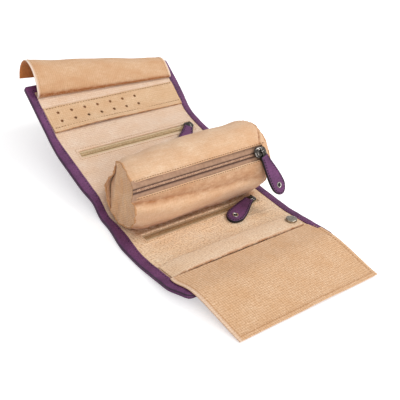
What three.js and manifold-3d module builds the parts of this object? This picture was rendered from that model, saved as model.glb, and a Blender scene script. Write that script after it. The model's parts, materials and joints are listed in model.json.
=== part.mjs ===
// A jewelry roll laid open: a leather shell with a suede lining, two zipped pockets, a zipped pouch,
// a strip for earrings, a snap strap for rings and a covering flap at each end.
// Millimetres. X runs across the roll, Y along it towards the far end, Z up from the table.
// The origin is the middle of the flat underside beneath the pouch.
import * as THREE from "three";
import Module from "manifold-3d";

const wasm = await Module();
wasm.setup();

// Overall sizes
const shellWidth = 220;
const borderWidth = 10;
const nearLength = 77;
const flatLength = 88;
const midLength = 93;
const earLength = 80;
const clearance = 0.3;

// Layers, from the outside of the roll inwards
const leatherThick = 1.5;
const interliningThick = 0.8;
const pocketThick = 0.7;
const liningThick = 1.2;
const lipThick = 1.2;
const wallThick = 1.3;

// How far each panel leans in the open roll, and the bend behind the pouch
const nearSlope = -7.5;
const midSlope = 14;
const earSlope = 30.5;
const bendRise = 16.4;
const bendReach = 32;
const foldGap = 0.3;

// Pouch
const pouchRadius = 42.8;
const pouchWall = 1.4;
const pouchInsetLeft = 1;
const pouchInsetRight = 5;
const pouchSkew = 8;
const pouchY = 25;
const pouchDraw = 0.8;
const pouchDish = 4;
const endThick = 1.4;
const pouchZipAngle = 40.4;
const pouchSlotWidth = 17;
const pouchZipPast = 4;
const pouchZipShort = 13;
const pouchSliderPark = 8;
const pouchPullLean = 18;
const pouchPullHang = 7;

// Zips of the two flat pockets
const windowWidth = 11;
const windowInset = 14;
const tapeWidth = 24;
const tapeOver = 6;
const coilWidth = 5;
const coilOver = 0.4;
const zipOneAlong = 61;
const zipTwoY = -8;
const sliderOnePark = 5;
const sliderTwoPark = 10;
const bagInset = 10;

// Zip sliders and their leather pulls
const sliderLong = 11;
const sliderWide = 8;
const sliderThick = 2.8;
const archWide = 6;
const archThick = 1.1;
const archRise = 3.6;
const linkOuter = 1.8;
const linkHole = 1;
const linkWide = 3;
const linkTail = 13;
const linkThick = 0.9;
const pullStart = 6.5;
const pullLength = 53;
const pullWidth = 23;
const pullNeck = 12;
const pullRound = 3.5;
const pullShoulder = 9;
const pullBelly = 15;
const pullSwell = 14;
const pullTurn = 6;
const pullThick = 2.2;
const pullDroop = 2.6;
const zipOnePullTurn = 48;
const zipTwoPullTurn = 25;
const rivetAlong = 40.5;
const rivetShank = 1.5;
const rivetHead = 3.4;
const rivetRise = 1.2;

// Ring strap and its snap
const strapAlong = 16;
const strapWidth = 26;
const strapThick = 4;
const strapInsetLeft = 5;
const strapInsetRight = 7;
const strapLift = 0.9;
const snapInset = 9;
const snapRadius = 6.8;
const snapRise = 3.2;
const socketRadius = 5;
const socketHole = 2.6;
const socketDeep = 2.2;
const studRadius = 4.6;
const studKnob = 2;

// Earring strip
const stripAlong = 8;
const stripDeep = 37;
const stripThick = 1.2;
const holeRadius = 1.4;
const holeColumns = 7;
const holePitch = 19.27;
const holeInset = 16.7;
const holeRows = [22.6, 35];

// Flaps
const flapThick = 1.4;
const nearFlapInsetLeft = 5.5;
const nearFlapInsetRight = 5;
const nearFlapGap = 2;
const nearFlapDrop = 15.5;
const nearFlapReach = 67.5;
const nearFlapSkew = 9;
const farFlapInset = 9;
const farFlapAlong = 57;
const farFlapRise = 25.5;
const farFlapReach = 38;
const farFlapTaper = 0.44;
const farFlapDraw = 0.29;

// Heights in the stack of layers, counted from the outside of the shell
const interliningLow = leatherThick + clearance;
const pocketLow = interliningLow + interliningThick + clearance;
const liningLow = pocketLow + pocketThick + clearance;
const liningTop = liningLow + liningThick;
const lipLow = liningTop + clearance;
const lipTop = lipLow + lipThick;
const hingeLevel = lipTop + clearance;
const half = shellWidth / 2;
const innerHalf = half - borderWidth;
const shellHalf = half - wallThick - clearance;

// Places across the roll, counted from the turned border
const pouchLeft = pouchInsetLeft - innerHalf;
const pouchRight = innerHalf - pouchInsetRight;
const pouchZipLeft = pouchLeft - pouchZipPast;
const pouchZipRight = pouchRight - pouchZipShort;
const pouchSliderX = pouchZipRight - pouchSliderPark;
const windowHalf = innerHalf - windowInset;
const sliderOneX = windowHalf - sliderOnePark;
const sliderTwoX = windowHalf - sliderTwoPark;
const strapLeft = strapInsetLeft - innerHalf;
const strapRight = innerHalf - strapInsetRight;
const snapX = strapRight - snapInset;
const holeFirstX = holeInset - innerHalf;
const nearFlapLeft = nearFlapInsetLeft - half;
const nearFlapRight = half - nearFlapInsetRight;
const farFlapHalf = half - farFlapInset;

// Finishes
const purple = { color: 0x6e416e, roughness: 0.6, metalness: 0 };
const suede = { color: 0xe4be96, roughness: 0.95, metalness: 0 };
const interlining = { color: 0xd9d2c4, roughness: 0.9, metalness: 0 };
const bagCloth = { color: 0xcdb08a, roughness: 0.9, metalness: 0 };
const tapeCloth = { color: 0x9a8560, roughness: 0.85, metalness: 0 };
const coilBrown = { color: 0x5a4632, roughness: 0.5, metalness: 0.2 };
const gunmetal = { color: 0x55504c, roughness: 0.35, metalness: 1 };
const nickel = { color: 0xb9b6ae, roughness: 0.3, metalness: 1 };

const part = new THREE.Group();
part.name = "jewelry_roll";

function addNode(name, geometry, finish) {
  const mesh = new THREE.Mesh(geometry, new THREE.MeshStandardMaterial(finish));
  mesh.name = name;
  part.add(mesh);
}

// Solids

function toSolid(geometry) {
  const bare = geometry.index ? geometry.toNonIndexed() : geometry;
  const points = bare.attributes.position.array;
  const seen = new Map();
  const vertProperties = [];
  const triVerts = [];
  for (let i = 0; i < points.length; i += 3) {
    const key = [0, 1, 2].map((k) => Math.round(points[i + k] * 1e4)).join(",");
    if (!seen.has(key)) {
      seen.set(key, seen.size);
      vertProperties.push(points[i], points[i + 1], points[i + 2]);
    }
    triVerts.push(seen.get(key));
  }
  const kept = [];
  for (let i = 0; i < triVerts.length; i += 3) {
    const [a, b, c] = triVerts.slice(i, i + 3);
    if (a !== b && b !== c && c !== a) kept.push(a, b, c);
  }
  const mesh = new wasm.Mesh({
    numProp: 3,
    vertProperties: new Float32Array(vertProperties),
    triVerts: new Uint32Array(kept),
  });
  return new wasm.Manifold(mesh);
}

function toGeometry(solid) {
  const mesh = solid.getMesh();
  const geometry = new THREE.BufferGeometry();
  geometry.setAttribute("position", new THREE.BufferAttribute(mesh.vertProperties, 3));
  geometry.setIndex(new THREE.BufferAttribute(mesh.triVerts, 1));
  geometry.computeVertexNormals();
  return geometry;
}

function joined(...geometries) {
  return toGeometry(geometries.map(toSolid).reduce((sum, solid) => sum.add(solid)));
}

function cut(geometry, ...tools) {
  return toGeometry(tools.map(toSolid).reduce((rest, tool) => rest.subtract(tool), toSolid(geometry)));
}

function box(x0, x1, y0, y1, z0, z1) {
  const geometry = new THREE.BoxGeometry(x1 - x0, y1 - y0, z1 - z0);
  return geometry.translate((x0 + x1) / 2, (y0 + y1) / 2, (z0 + z1) / 2);
}

// Carries a drawing in Y and Z, given depth along X, into the roll's axes.
const drawnAcross = new THREE.Matrix4().makeBasis(
  new THREE.Vector3(0, 1, 0),
  new THREE.Vector3(0, 0, 1),
  new THREE.Vector3(1, 0, 0),
);

function across(outline, x0, x1, steps = 1) {
  const shape = new THREE.Shape(outline.map(([y, z]) => new THREE.Vector2(y, z)));
  const geometry = new THREE.ExtrudeGeometry(shape, { depth: x1 - x0, bevelEnabled: false, steps });
  return geometry.applyMatrix4(drawnAcross).translate(x0, 0, 0);
}

function smooth(points, count) {
  const curve = new THREE.SplineCurve(points.map(([y, z]) => new THREE.Vector2(y, z)));
  return curve.getSpacedPoints(count).map((p) => [p.x, p.y]);
}

// A side view moved off a line of points, along the line's own normals.
function offset(line, level) {
  return line.map(([y, z], i) => {
    const [y0, z0] = line[Math.max(i - 1, 0)];
    const [y1, z1] = line[Math.min(i + 1, line.length - 1)];
    const long = Math.hypot(y1 - y0, z1 - z0);
    return [y - ((z1 - z0) / long) * level, z + ((y1 - y0) / long) * level];
  });
}

function layer(line, low, high, x0, x1, steps = 1) {
  const under = offset(line, low);
  const over = offset(line, high).reverse();
  return across([...under, ...over], x0, x1, steps);
}

// Places of the panels: each panel is drawn flat, with its fold at the origin of its own frame

function frameAt(y, z, slope) {
  const turn = new THREE.Matrix4().makeRotationX(THREE.MathUtils.degToRad(slope));
  return turn.premultiply(new THREE.Matrix4().makeTranslation(0, y, z));
}

function pointIn(frame, y, z) {
  const p = new THREE.Vector3(0, y, z).applyMatrix4(frame);
  return [p.y, p.z];
}

const flatHalf = flatLength / 2;
const bendEnd = flatHalf + bendReach;
const bendCurve = smooth(
  [
    [flatHalf, 0],
    [flatHalf + 0.19 * bendReach, 0.13 * bendRise],
    [flatHalf + 0.41 * bendReach, 0.42 * bendRise],
    [flatHalf + 0.62 * bendReach, 0.74 * bendRise],
    [flatHalf + 0.81 * bendReach, 0.93 * bendRise],
    [bendEnd, bendRise],
  ],
  8,
);
const nearFrame = frameAt(-flatHalf, hingeLevel, nearSlope);
const bendTop = offset(bendCurve, hingeLevel);
const midFold = bendTop[bendTop.length - 1];
const midFrame = frameAt(midFold[0], midFold[1], midSlope);
const earFold = pointIn(midFrame, midLength, 0);
const earFrame = frameAt(earFold[0], earFold[1], earSlope);
const flatFrame = new THREE.Matrix4();

const cutBack = foldGap / 2;

// The last point of a line, drawn back along it to leave room for the fold.
function trimmedEnd(line) {
  const [y0, z0] = line[line.length - 2];
  const [y1, z1] = line[line.length - 1];
  const keep = 1 - cutBack / Math.hypot(y1 - y0, z1 - z0);
  return [y0 + (y1 - y0) * keep, z0 + (z1 - z0) * keep];
}

const centreLine = [[cutBack - flatHalf, 0], ...bendCurve.slice(0, -1), trimmedEnd(bendCurve)];
const nearLine = [[-nearLength, -hingeLevel], [-cutBack, -hingeLevel]];
const midLine = [[cutBack, -hingeLevel], [midLength - cutBack, -hingeLevel]];
const earLine = [[cutBack, -hingeLevel], [earLength, -hingeLevel]];

// Shortens a panel's side view at an end that a turned edge closes.
function shortened(line, first, last) {
  const copy = line.map((p) => [...p]);
  copy[0][0] += first;
  copy[copy.length - 1][0] -= last;
  return copy;
}

const edgeRoom = wallThick + clearance;

function addPanel(name, line, frame, ends, windows) {
  const put = (geometry) => geometry.applyMatrix4(frame);
  const inner = shortened(line, ends.near ? edgeRoom : 0, ends.far ? edgeRoom : 0);
  addNode(`${name}_shell`, put(layer(inner, 0, leatherThick, -shellHalf, shellHalf)), purple);
  const core = layer(inner, interliningLow, interliningLow + interliningThick, -shellHalf, shellHalf);
  addNode(`${name}_interlining`, put(core), interlining);
  const lining = layer(inner, liningLow, liningTop, -shellHalf, shellHalf);
  addNode(`${name}_lining`, put(windows.length ? cut(lining, ...windows) : lining), suede);
  for (const [side, at] of [["left", -1], ["right", 1]]) {
    const xs = (a, b) => [a * at, b * at].sort((p, q) => p - q);
    const lip = layer(line, lipLow, lipTop, ...xs(innerHalf, half));
    const wall = layer(line, 0, lipTop, ...xs(half - wallThick, half));
    addNode(`${name}_border_${side}`, put(joined(lip, wall)), purple);
  }
}

function addEndBorder(name, edge, inward, frame) {
  const lipHalf = innerHalf - clearance;
  const wallHalf = shellHalf;
  const ys = (a, b) => [edge + a * inward, edge + b * inward].sort((p, q) => p - q);
  const lip = box(-lipHalf, lipHalf, ...ys(0, borderWidth), lipLow - hingeLevel, lipTop - hingeLevel);
  const wall = box(-wallHalf, wallHalf, ...ys(0, wallThick), -hingeLevel, lipLow - hingeLevel - clearance);
  const tie = box(-lipHalf, lipHalf, ...ys(0, wallThick), -hingeLevel, lipTop - hingeLevel);
  addNode(name, joined(lip, wall, tie).applyMatrix4(frame), purple);
}

// A frame for each zip: X along the teeth, Y across them, Z out of the panel, zero at the shell's outside.
function zipFrame(panelFrame, along, drop) {
  return new THREE.Matrix4().makeTranslation(0, along, drop).premultiply(panelFrame);
}

const zipOneFrame = zipFrame(midFrame, zipOneAlong, -hingeLevel);
const zipTwoFrame = zipFrame(flatFrame, zipTwoY, 0);

function windowBox(along, drop) {
  const w = windowWidth / 2;
  return box(-windowHalf, windowHalf, along - w, along + w, drop + liningLow - 1, drop + liningTop + 1);
}

function coilSide(low, high) {
  const w = coilWidth / 2;
  const shoulder = high - 0.7;
  return [[-w, low], [w, low], [w, shoulder], [w - 0.8, high], [0.8 - w, high], [-w, shoulder]];
}

function addPocketZip(name, frame) {
  const reach = windowHalf + tapeOver;
  const tape = box(-reach, reach, -tapeWidth / 2, tapeWidth / 2, pocketLow, pocketLow + pocketThick);
  addNode(`${name}_tape`, tape.applyMatrix4(frame), tapeCloth);
  const coil = across(coilSide(liningLow, liningTop + coilOver), -windowHalf + 1, windowHalf - 1);
  addNode(`${name}_coil`, coil.applyMatrix4(frame), coilBrown);
}

function addBag(name, frame, y0, y1, drop) {
  const w = innerHalf - bagInset;
  const bag = box(-w, w, y0, y1, drop + pocketLow, drop + pocketLow + pocketThick);
  addNode(name, bag.applyMatrix4(frame), bagCloth);
}

// Slider and pull, drawn with the slider's underside on the XY plane and the pull leading along +X
const barHeight = sliderThick + archRise - archThick / 2;

function slider() {
  const long = sliderLong / 2;
  const wide = sliderWide / 2;
  const plan = new THREE.Shape();
  plan.moveTo(-long, -wide * 0.7);
  plan.lineTo(-long * 0.2, -wide);
  plan.lineTo(long * 0.6, -wide);
  plan.quadraticCurveTo(long, 0, long * 0.6, wide);
  plan.lineTo(-long * 0.2, wide);
  plan.lineTo(-long, wide * 0.7);
  return new THREE.ExtrudeGeometry(plan, { depth: sliderThick, bevelEnabled: false, curveSegments: 6 });
}

function arch() {
  const w = archWide / 2;
  const top = sliderThick + archRise;
  const foot = sliderThick - 0.4;
  const t = archThick;
  const side = [
    [-w, foot], [t - w, foot], [t - w, top - t], [w - t, top - t],
    [w - t, foot], [w, foot], [w, top], [-w, top],
  ];
  return across(side, -archThick / 2, archThick / 2);
}

function pullLink() {
  const side = new THREE.Shape();
  const low = -linkThick / 2;
  const neck = Math.asin(-low / linkOuter);
  side.absarc(0, 0, linkOuter, neck, 2 * Math.PI - neck, false);
  side.lineTo(linkTail, low);
  side.lineTo(linkTail, -low);
  const eye = new THREE.Path();
  eye.absarc(0, 0, linkHole, 0, 2 * Math.PI, true);
  side.holes.push(eye);
  const options = { depth: linkWide, bevelEnabled: false, curveSegments: 10 };
  const geometry = new THREE.ExtrudeGeometry(side, options);
  return geometry.translate(0, 0, -linkWide / 2).rotateX(Math.PI / 2);
}

const pullTop = -linkThick / 2 - clearance;

function pullLeather() {
  const neck = pullNeck / 2;
  const wide = pullWidth / 2;
  const end = pullStart + pullLength;
  const plan = new THREE.Shape();
  const belly = end - pullBelly;
  plan.moveTo(pullStart, pullRound - neck);
  plan.quadraticCurveTo(pullStart, -neck, pullStart + pullRound, -neck);
  plan.bezierCurveTo(pullStart + pullShoulder, -neck, belly - pullSwell, -wide, belly, -wide);
  plan.bezierCurveTo(end - pullTurn, -wide, end, -wide * 0.45, end, 0);
  plan.bezierCurveTo(end, wide * 0.45, end - pullTurn, wide, belly, wide);
  plan.bezierCurveTo(belly - pullSwell, wide, pullStart + pullShoulder, neck, pullStart + pullRound, neck);
  plan.quadraticCurveTo(pullStart, neck, pullStart, neck - pullRound);
  plan.closePath();
  const hole = new THREE.Path();
  hole.absarc(pullStart + rivetAlong, 0, rivetShank + clearance, 0, 2 * Math.PI, true);
  plan.holes.push(hole);
  const options = { depth: pullThick, bevelEnabled: false, curveSegments: 8 };
  const geometry = new THREE.ExtrudeGeometry(plan, options);
  return geometry.translate(0, 0, pullTop - pullThick);
}

function rivet() {
  const low = -pullThick - clearance;
  const profile = [
    [0, low - 0.6], [rivetHead * 0.7, low - 0.6], [rivetHead, low], [rivetShank, low],
    [rivetShank, clearance], [rivetHead, clearance], [rivetHead * 0.75, clearance + rivetRise * 0.7],
    [0, clearance + rivetRise],
  ].map(([r, h]) => new THREE.Vector2(r, h));
  const geometry = new THREE.LatheGeometry(profile, 16);
  return geometry.rotateX(Math.PI / 2).translate(pullStart + rivetAlong, 0, pullTop);
}

function addSlider(name, frame, x, height, heading, hangs) {
  const seat = new THREE.Matrix4().makeTranslation(x, 0, height).premultiply(frame);
  const lead = new THREE.Matrix4().makeRotationZ(THREE.MathUtils.degToRad(heading));
  const droop = new THREE.Matrix4().makeRotationY(THREE.MathUtils.degToRad(hangs));
  const bar = new THREE.Matrix4().makeTranslation(0, 0, barHeight).multiply(lead).multiply(droop);
  const body = joined(slider(), arch().applyMatrix4(lead));
  addNode(`${name}_slider`, body.applyMatrix4(seat), gunmetal);
  const hang = bar.premultiply(seat);
  addNode(`${name}_pull_link`, pullLink().applyMatrix4(hang), gunmetal);
  addNode(`${name}_pull`, pullLeather().applyMatrix4(hang), purple);
  addNode(`${name}_pull_rivet`, rivet().applyMatrix4(hang), nickel);
}

// Centre panel with the second zipped pocket
addPanel("centre", centreLine, flatFrame, { near: false, far: false }, [windowBox(zipTwoY, 0)]);
addPocketZip("zip_two", zipTwoFrame);
const bagTwoStart = zipTwoY + tapeWidth / 2 + clearance;
addBag("pocket_two_bag", flatFrame, bagTwoStart, flatHalf - 2, 0);
const sliderSeat = liningTop + coilOver + clearance;
addSlider("zip_two", zipTwoFrame, sliderTwoX, sliderSeat, 180 + zipTwoPullTurn, pullDroop);

// Pouch
const pouchZ = liningTop + clearance + pouchRadius;
const pouchMiddle = (pouchLeft + pouchRight) / 2;
const pouchHalf = (pouchRight - pouchLeft) / 2;

function pouchOuter(x) {
  return pouchRadius - pouchDraw * Math.abs((x - pouchMiddle) / pouchHalf) ** 3;
}

// Lays a turned form along X, with its left end drawn out on the side of the zip.
function lieAcross(geometry) {
  geometry.rotateZ(-Math.PI / 2);
  const turn = THREE.MathUtils.degToRad(pouchZipAngle);
  const place = geometry.attributes.position;
  for (let i = 0; i < place.count; i += 1) {
    const out = place.getZ(i) * Math.sin(turn) - place.getY(i) * Math.cos(turn);
    const along = Math.max(place.getX(i) / pouchLeft, 0);
    const reach = Math.max(out / pouchRadius, 0);
    place.setX(i, place.getX(i) - pouchSkew * reach ** 2 * along ** 4);
  }
  return geometry.translate(0, pouchY, pouchZ);
}

function pouchBody() {
  const count = 8;
  const outer = [];
  for (let i = 0; i <= count; i += 1) {
    const x = pouchLeft + endThick + ((pouchRight - pouchLeft - 2 * endThick) * i) / count;
    outer.push(new THREE.Vector2(pouchOuter(x), x));
  }
  const inner = outer.map((p) => new THREE.Vector2(p.x - pouchWall, p.y)).reverse();
  const tube = lieAcross(new THREE.LatheGeometry([...outer, ...inner, outer[0]], 40));
  const w = pouchSlotWidth / 2;
  const reach = [pouchRadius - 6, pouchRadius + 6];
  const slot = box(pouchZipLeft, pouchZipRight, -w, w, ...reach).applyMatrix4(pouchZipFrame);
  return cut(tube, slot);
}

// X along the pouch's zip, Z out of the pouch through the middle of the zip.
const pouchZipFrame = frameAt(pouchY, pouchZ, 90 - pouchZipAngle);

function pouchEnd(x, out) {
  const r = pouchOuter(x) - 0.2;
  const face = x - out * (endThick - clearance);
  const deep = -out * pouchDish;
  const profile = [
    [0, face + deep], [0.6 * r, face + 0.6 * deep], [r, face],
    [r, x], [0.6 * r, x + 0.6 * deep], [0, x + deep],
  ].map(([a, b]) => new THREE.Vector2(a, b));
  return lieAcross(new THREE.LatheGeometry(out > 0 ? profile : profile.reverse(), 40));
}

function pouchTape() {
  const low = pouchRadius - pouchWall - pouchDraw - clearance - pocketThick - 0.4;
  const w = pouchSlotWidth / 2 + 3;
  const arc = (r, n) => {
    const turn = Math.asin(w / r);
    return Array.from({ length: n + 1 }, (_, i) => {
      const a = -turn + (2 * turn * i) / n;
      return [r * Math.sin(a), r * Math.cos(a)];
    });
  };
  const side = [...arc(low, 6), ...arc(low + pocketThick, 6).reverse()];
  return across(side, pouchZipLeft + 2, pouchZipRight + 4).applyMatrix4(pouchZipFrame);
}

const pouchCoilLow = pouchRadius - pouchWall - pouchDraw - 0.1;
const pouchCoilTop = pouchRadius + 0.4;
const pouchCoil = across(coilSide(pouchCoilLow, pouchCoilTop), pouchZipLeft + 3, pouchZipRight - 1);

addNode("pouch_body", pouchBody(), suede);
addNode("pouch_end_left", pouchEnd(pouchLeft, -1), suede);
addNode("pouch_end_right", pouchEnd(pouchRight, 1), suede);
addNode("pouch_zip_tape", pouchTape(), tapeCloth);
addNode("pouch_zip_coil", pouchCoil.applyMatrix4(pouchZipFrame), coilBrown);
const pouchSeat = pouchCoilTop + clearance;
addSlider("pouch_zip", pouchZipFrame, pouchSliderX, pouchSeat, 270 + pouchPullLean, pouchPullHang);

// Middle panel with the first zipped pocket
addPanel("mid", midLine, midFrame, { near: false, far: false }, [windowBox(zipOneAlong, -hingeLevel)]);
addPocketZip("zip_one", zipOneFrame);
const bagOneEnd = zipOneAlong - tapeWidth / 2 - clearance;
addBag("pocket_one_bag", midFrame, bagInset, bagOneEnd, -hingeLevel);
addSlider("zip_one", zipOneFrame, sliderOneX, sliderSeat, 180 + zipOnePullTurn, pullDroop);

// Far panel with the earring strip and its covering flap
addPanel("ear", earLine, earFrame, { near: false, far: true }, []);
addEndBorder("ear_border_end", earLength, -1, earFrame);

function earringStrip() {
  const low = lipLow - hingeLevel;
  const w = innerHalf - clearance;
  const sheet = box(-w, w, stripAlong, stripAlong + stripDeep, low, low + stripThick);
  const holes = [];
  for (const along of holeRows) {
    for (let i = 0; i < holeColumns; i += 1) {
      const punch = new THREE.CylinderGeometry(holeRadius, holeRadius, 4, 10).rotateX(Math.PI / 2);
      holes.push(punch.translate(holeFirstX + i * holePitch, along, low));
    }
  }
  return cut(sheet, ...holes).applyMatrix4(earFrame);
}

addNode("earring_strip", earringStrip(), suede);

// The far flap curls up and over the end of the roll, higher and longer at the left than at the right.
function farFlap() {
  const [y, z] = pointIn(earFrame, farFlapAlong, clearance);
  const side = [
    [0, 0], [0.08, 0.4], [0.25, 0.72], [0.5, 0.97],
    [0.73, 1], [0.92, 0.74], [1, 0.35], [0.99, 0.07],
  ];
  const under = smooth(side.map(([a, b]) => [y + a * farFlapReach, z + b * farFlapRise]), 16);
  const geometry = layer(under, 0, flapThick, -farFlapHalf, farFlapHalf, 4);
  const place = geometry.attributes.position;
  for (let i = 0; i < place.count; i += 1) {
    const across = place.getX(i) / farFlapHalf;
    place.setY(i, y + (place.getY(i) - y) * (1 - farFlapDraw * across));
    place.setZ(i, z + (place.getZ(i) - z) * (1 - farFlapTaper * across));
  }
  return geometry;
}

addNode("far_flap", farFlap(), suede);

// Near panel with the ring strap and the covering flap
addPanel("near", nearLine, nearFrame, { near: true, far: false }, []);
addEndBorder("near_border_end", -nearLength, 1, nearFrame);

const strapLow = liningTop - hingeLevel + strapLift;
const strapMiddle = -strapAlong - strapWidth / 2;

function upright(geometry, z) {
  return geometry.rotateX(Math.PI / 2).translate(snapX, strapMiddle, z);
}

function ringStrap() {
  const y0 = -strapAlong - strapWidth;
  const bar = box(strapLeft, strapRight, y0, -strapAlong, strapLow, strapLow + strapThick);
  const r = socketRadius + clearance;
  const recess = new THREE.CylinderGeometry(r, r, 2 * socketDeep, 20);
  return cut(bar, upright(recess, strapLow)).applyMatrix4(nearFrame);
}

function turned(profile, z) {
  const lathe = new THREE.LatheGeometry(profile.map(([r, h]) => new THREE.Vector2(r, h)), 20);
  return upright(lathe, z).applyMatrix4(nearFrame);
}

addNode("ring_strap", ringStrap(), suede);
const capSide = [
  [0, 0], [snapRadius, 0], [snapRadius, 0.3 * snapRise],
  [snapRadius * 0.7, 0.8 * snapRise], [0, snapRise],
];
addNode("snap_cap", turned(capSide, strapLow + strapThick + clearance), nickel);
const socketSide = [
  [socketHole, 0], [socketRadius, 0], [socketRadius, socketDeep - clearance],
  [socketHole, socketDeep - clearance], [socketHole, 0],
];
addNode("snap_socket", turned(socketSide, strapLow), nickel);
const studSide = [[0, 0], [studRadius, 0], [studRadius, 0.4], [studKnob, 0.4], [studKnob, 1.6], [0, 1.6]];
addNode("snap_stud", turned(studSide, liningTop - hingeLevel + 0.2), nickel);

// The near flap hangs over the near edge and drifts to the right on its way down.
function nearFlap() {
  const start = pointIn(nearFrame, -strapAlong - strapWidth - nearFlapGap, 0.1);
  const over = pointIn(nearFrame, -0.8 * nearLength, 0.1);
  const [y, z] = pointIn(nearFrame, -nearLength, 0.1);
  const under = smooth(
    [
      [y - nearFlapReach, z - nearFlapDrop],
      [y - 0.82 * nearFlapReach, z - 0.84 * nearFlapDrop],
      [y - 0.5 * nearFlapReach, z - 0.48 * nearFlapDrop],
      [y - 0.2 * nearFlapReach, z - 0.14 * nearFlapDrop],
      [y, z],
      over,
      start,
    ],
    14,
  );
  const geometry = layer(under, 0, flapThick, nearFlapLeft, nearFlapRight);
  const place = geometry.attributes.position;
  for (let i = 0; i < place.count; i += 1) {
    const past = Math.max(0, (y - place.getY(i)) / nearFlapReach);
    place.setX(i, place.getX(i) + nearFlapSkew * past);
  }
  return geometry;
}

addNode("near_flap", nearFlap(), suede);

export default part;
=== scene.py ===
"""Looks of a jewelry roll laid open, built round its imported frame.

Sizes are in millimetres until a mesh is written, and in metres from there on. X runs across the roll,
Y along it towards the far end and Z up from the table, as in the frame.
"""
from __future__ import annotations

import json
import logging
import math
from abc import ABC, abstractmethod
from dataclasses import dataclass, field
from enum import Enum
from functools import cached_property
from typing import Iterable, Sequence

import bpy
import numpy as np
from mathutils import Matrix

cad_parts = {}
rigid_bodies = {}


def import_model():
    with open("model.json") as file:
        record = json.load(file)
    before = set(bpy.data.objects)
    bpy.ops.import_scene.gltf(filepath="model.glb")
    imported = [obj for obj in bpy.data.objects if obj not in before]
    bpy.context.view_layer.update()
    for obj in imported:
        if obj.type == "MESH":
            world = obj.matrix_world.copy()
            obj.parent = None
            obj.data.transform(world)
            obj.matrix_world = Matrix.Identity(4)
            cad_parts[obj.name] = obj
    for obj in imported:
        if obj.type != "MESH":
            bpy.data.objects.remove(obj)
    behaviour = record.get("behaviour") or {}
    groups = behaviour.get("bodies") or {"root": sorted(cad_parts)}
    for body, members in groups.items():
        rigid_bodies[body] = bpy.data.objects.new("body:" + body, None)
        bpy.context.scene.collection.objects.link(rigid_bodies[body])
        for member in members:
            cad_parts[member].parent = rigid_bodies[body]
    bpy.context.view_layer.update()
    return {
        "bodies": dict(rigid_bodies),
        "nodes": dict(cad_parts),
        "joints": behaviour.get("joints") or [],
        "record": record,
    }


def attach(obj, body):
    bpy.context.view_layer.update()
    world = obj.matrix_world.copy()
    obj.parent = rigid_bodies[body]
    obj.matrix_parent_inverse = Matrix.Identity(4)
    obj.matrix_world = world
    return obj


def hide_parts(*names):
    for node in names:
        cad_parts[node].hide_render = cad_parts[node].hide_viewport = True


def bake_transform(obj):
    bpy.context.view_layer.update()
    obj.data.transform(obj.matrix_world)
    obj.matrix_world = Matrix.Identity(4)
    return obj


MM = 0.001
LOG = logging.getLogger("jewelry_roll")
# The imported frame, filled by main
FRAME: dict = {}
Array = np.ndarray
Piece = bpy.types.Object
Socket = bpy.types.NodeSocket
Row = tuple[Array, Array]
Profile = Sequence[tuple[float, float]]
ACROSS = np.array([1.0, 0.0, 0.0])


class Side(Enum):
    """The two long sides of the roll."""

    LEFT = -1
    RIGHT = 1


class Lay(Enum):
    """How a texture is laid on a piece: by its own flat measure or by the frame's axes."""

    FLAT = "UV"
    FRAME = "Object"


# Small mathematics


def linear(hex_colour: str) -> tuple[float, float, float, float]:
    """A colour written as rrggbb, turned into the linear values a shader takes.

    Args:
        hex_colour: six hexadecimal digits.

    Returns:
        Red, green, blue and an alpha of one.
    """
    parts = np.array([int(hex_colour[i : i + 2], 16) for i in (0, 2, 4)]) / 255
    low = parts / 12.92
    high = ((parts + 0.055) / 1.055) ** 2.4
    red, green, blue = np.where(parts <= 0.04045, low, high)
    return (float(red), float(green), float(blue), 1.0)


def eased(value: Array, start: float, end: float) -> Array:
    """Zero before start, one after end, and a smooth cubic step between them."""
    t = np.clip((np.asarray(value, float) - start) / (end - start), 0, 1)
    return t * t * (3 - 2 * t)


def hump(value: Array, middle: float, reach: float) -> Array:
    """A bell of height one about middle: e to the minus square of the distance over reach."""
    return np.exp(-(((np.asarray(value, float) - middle) / reach) ** 2))


def rounded(distance: Array, radius: float) -> Array:
    """A quarter-circle rise from zero at an edge to one at radius from it."""
    t = 1 - np.clip(np.asarray(distance, float) / radius, 0, 1)
    return np.sqrt(np.clip(1 - t * t, 0, 1))


def ripple(x: Array, y: Array, waves: Sequence[tuple[float, float, float, float]]) -> Array:
    """A sum of sine waves over a plane.

    Args:
        x: first coordinate in mm.
        y: second coordinate in mm.
        waves: height, wavelength along x, wavelength along y and phase of each wave.

    Returns:
        The summed height at every point.
    """
    total = np.zeros(np.broadcast(x, y).shape)
    for height, long_x, long_y, phase in waves:
        total = total + height * np.sin(2 * math.pi * (x / long_x + y / long_y) + phase)
    return total


def lines(*stops: float, gap: float) -> Array:
    """Grid lines through every stop, with even steps of at most gap between neighbours.

    Args:
        stops: lines that have to be there.
        gap: largest step between lines.

    Returns:
        The lines, in order.
    """
    marks = np.unique(np.round(stops, 4))
    runs = [
        np.linspace(a, b, max(1, math.ceil((b - a) / gap - 1e-6)) + 1)[:-1]
        for a, b in zip(marks[:-1], marks[1:])
    ]
    return np.concatenate(runs + [marks[-1:]])


def paired(*values: float) -> tuple[float, ...]:
    """The values and their negatives."""
    return (*values, *(-v for v in values))


def between(low: float, high: float, insets: Sequence[float], gap: float) -> Array:
    """Grid lines from low to high with stops at the same insets from both ends."""
    return lines(*(low + v for v in insets), *(high - v for v in insets), gap=gap)


def crossed(first: Array, second: Array) -> Sequence[Array]:
    """A grid's two coordinates: first runs down its rows, second along its columns."""
    return np.meshgrid(first, second, indexing="ij")


def cell_middles(*grids: Array) -> list[Array]:
    """Values in the middles of a grid's cells: half way between opposite corners."""
    return [(grid[1:, 1:] + grid[:-1, :-1]) / 2 for grid in grids]


def gaps_along(path: Array) -> Array:
    """Length of each step along a path."""
    return np.linalg.norm(np.diff(path, axis=0), axis=1)


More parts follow.
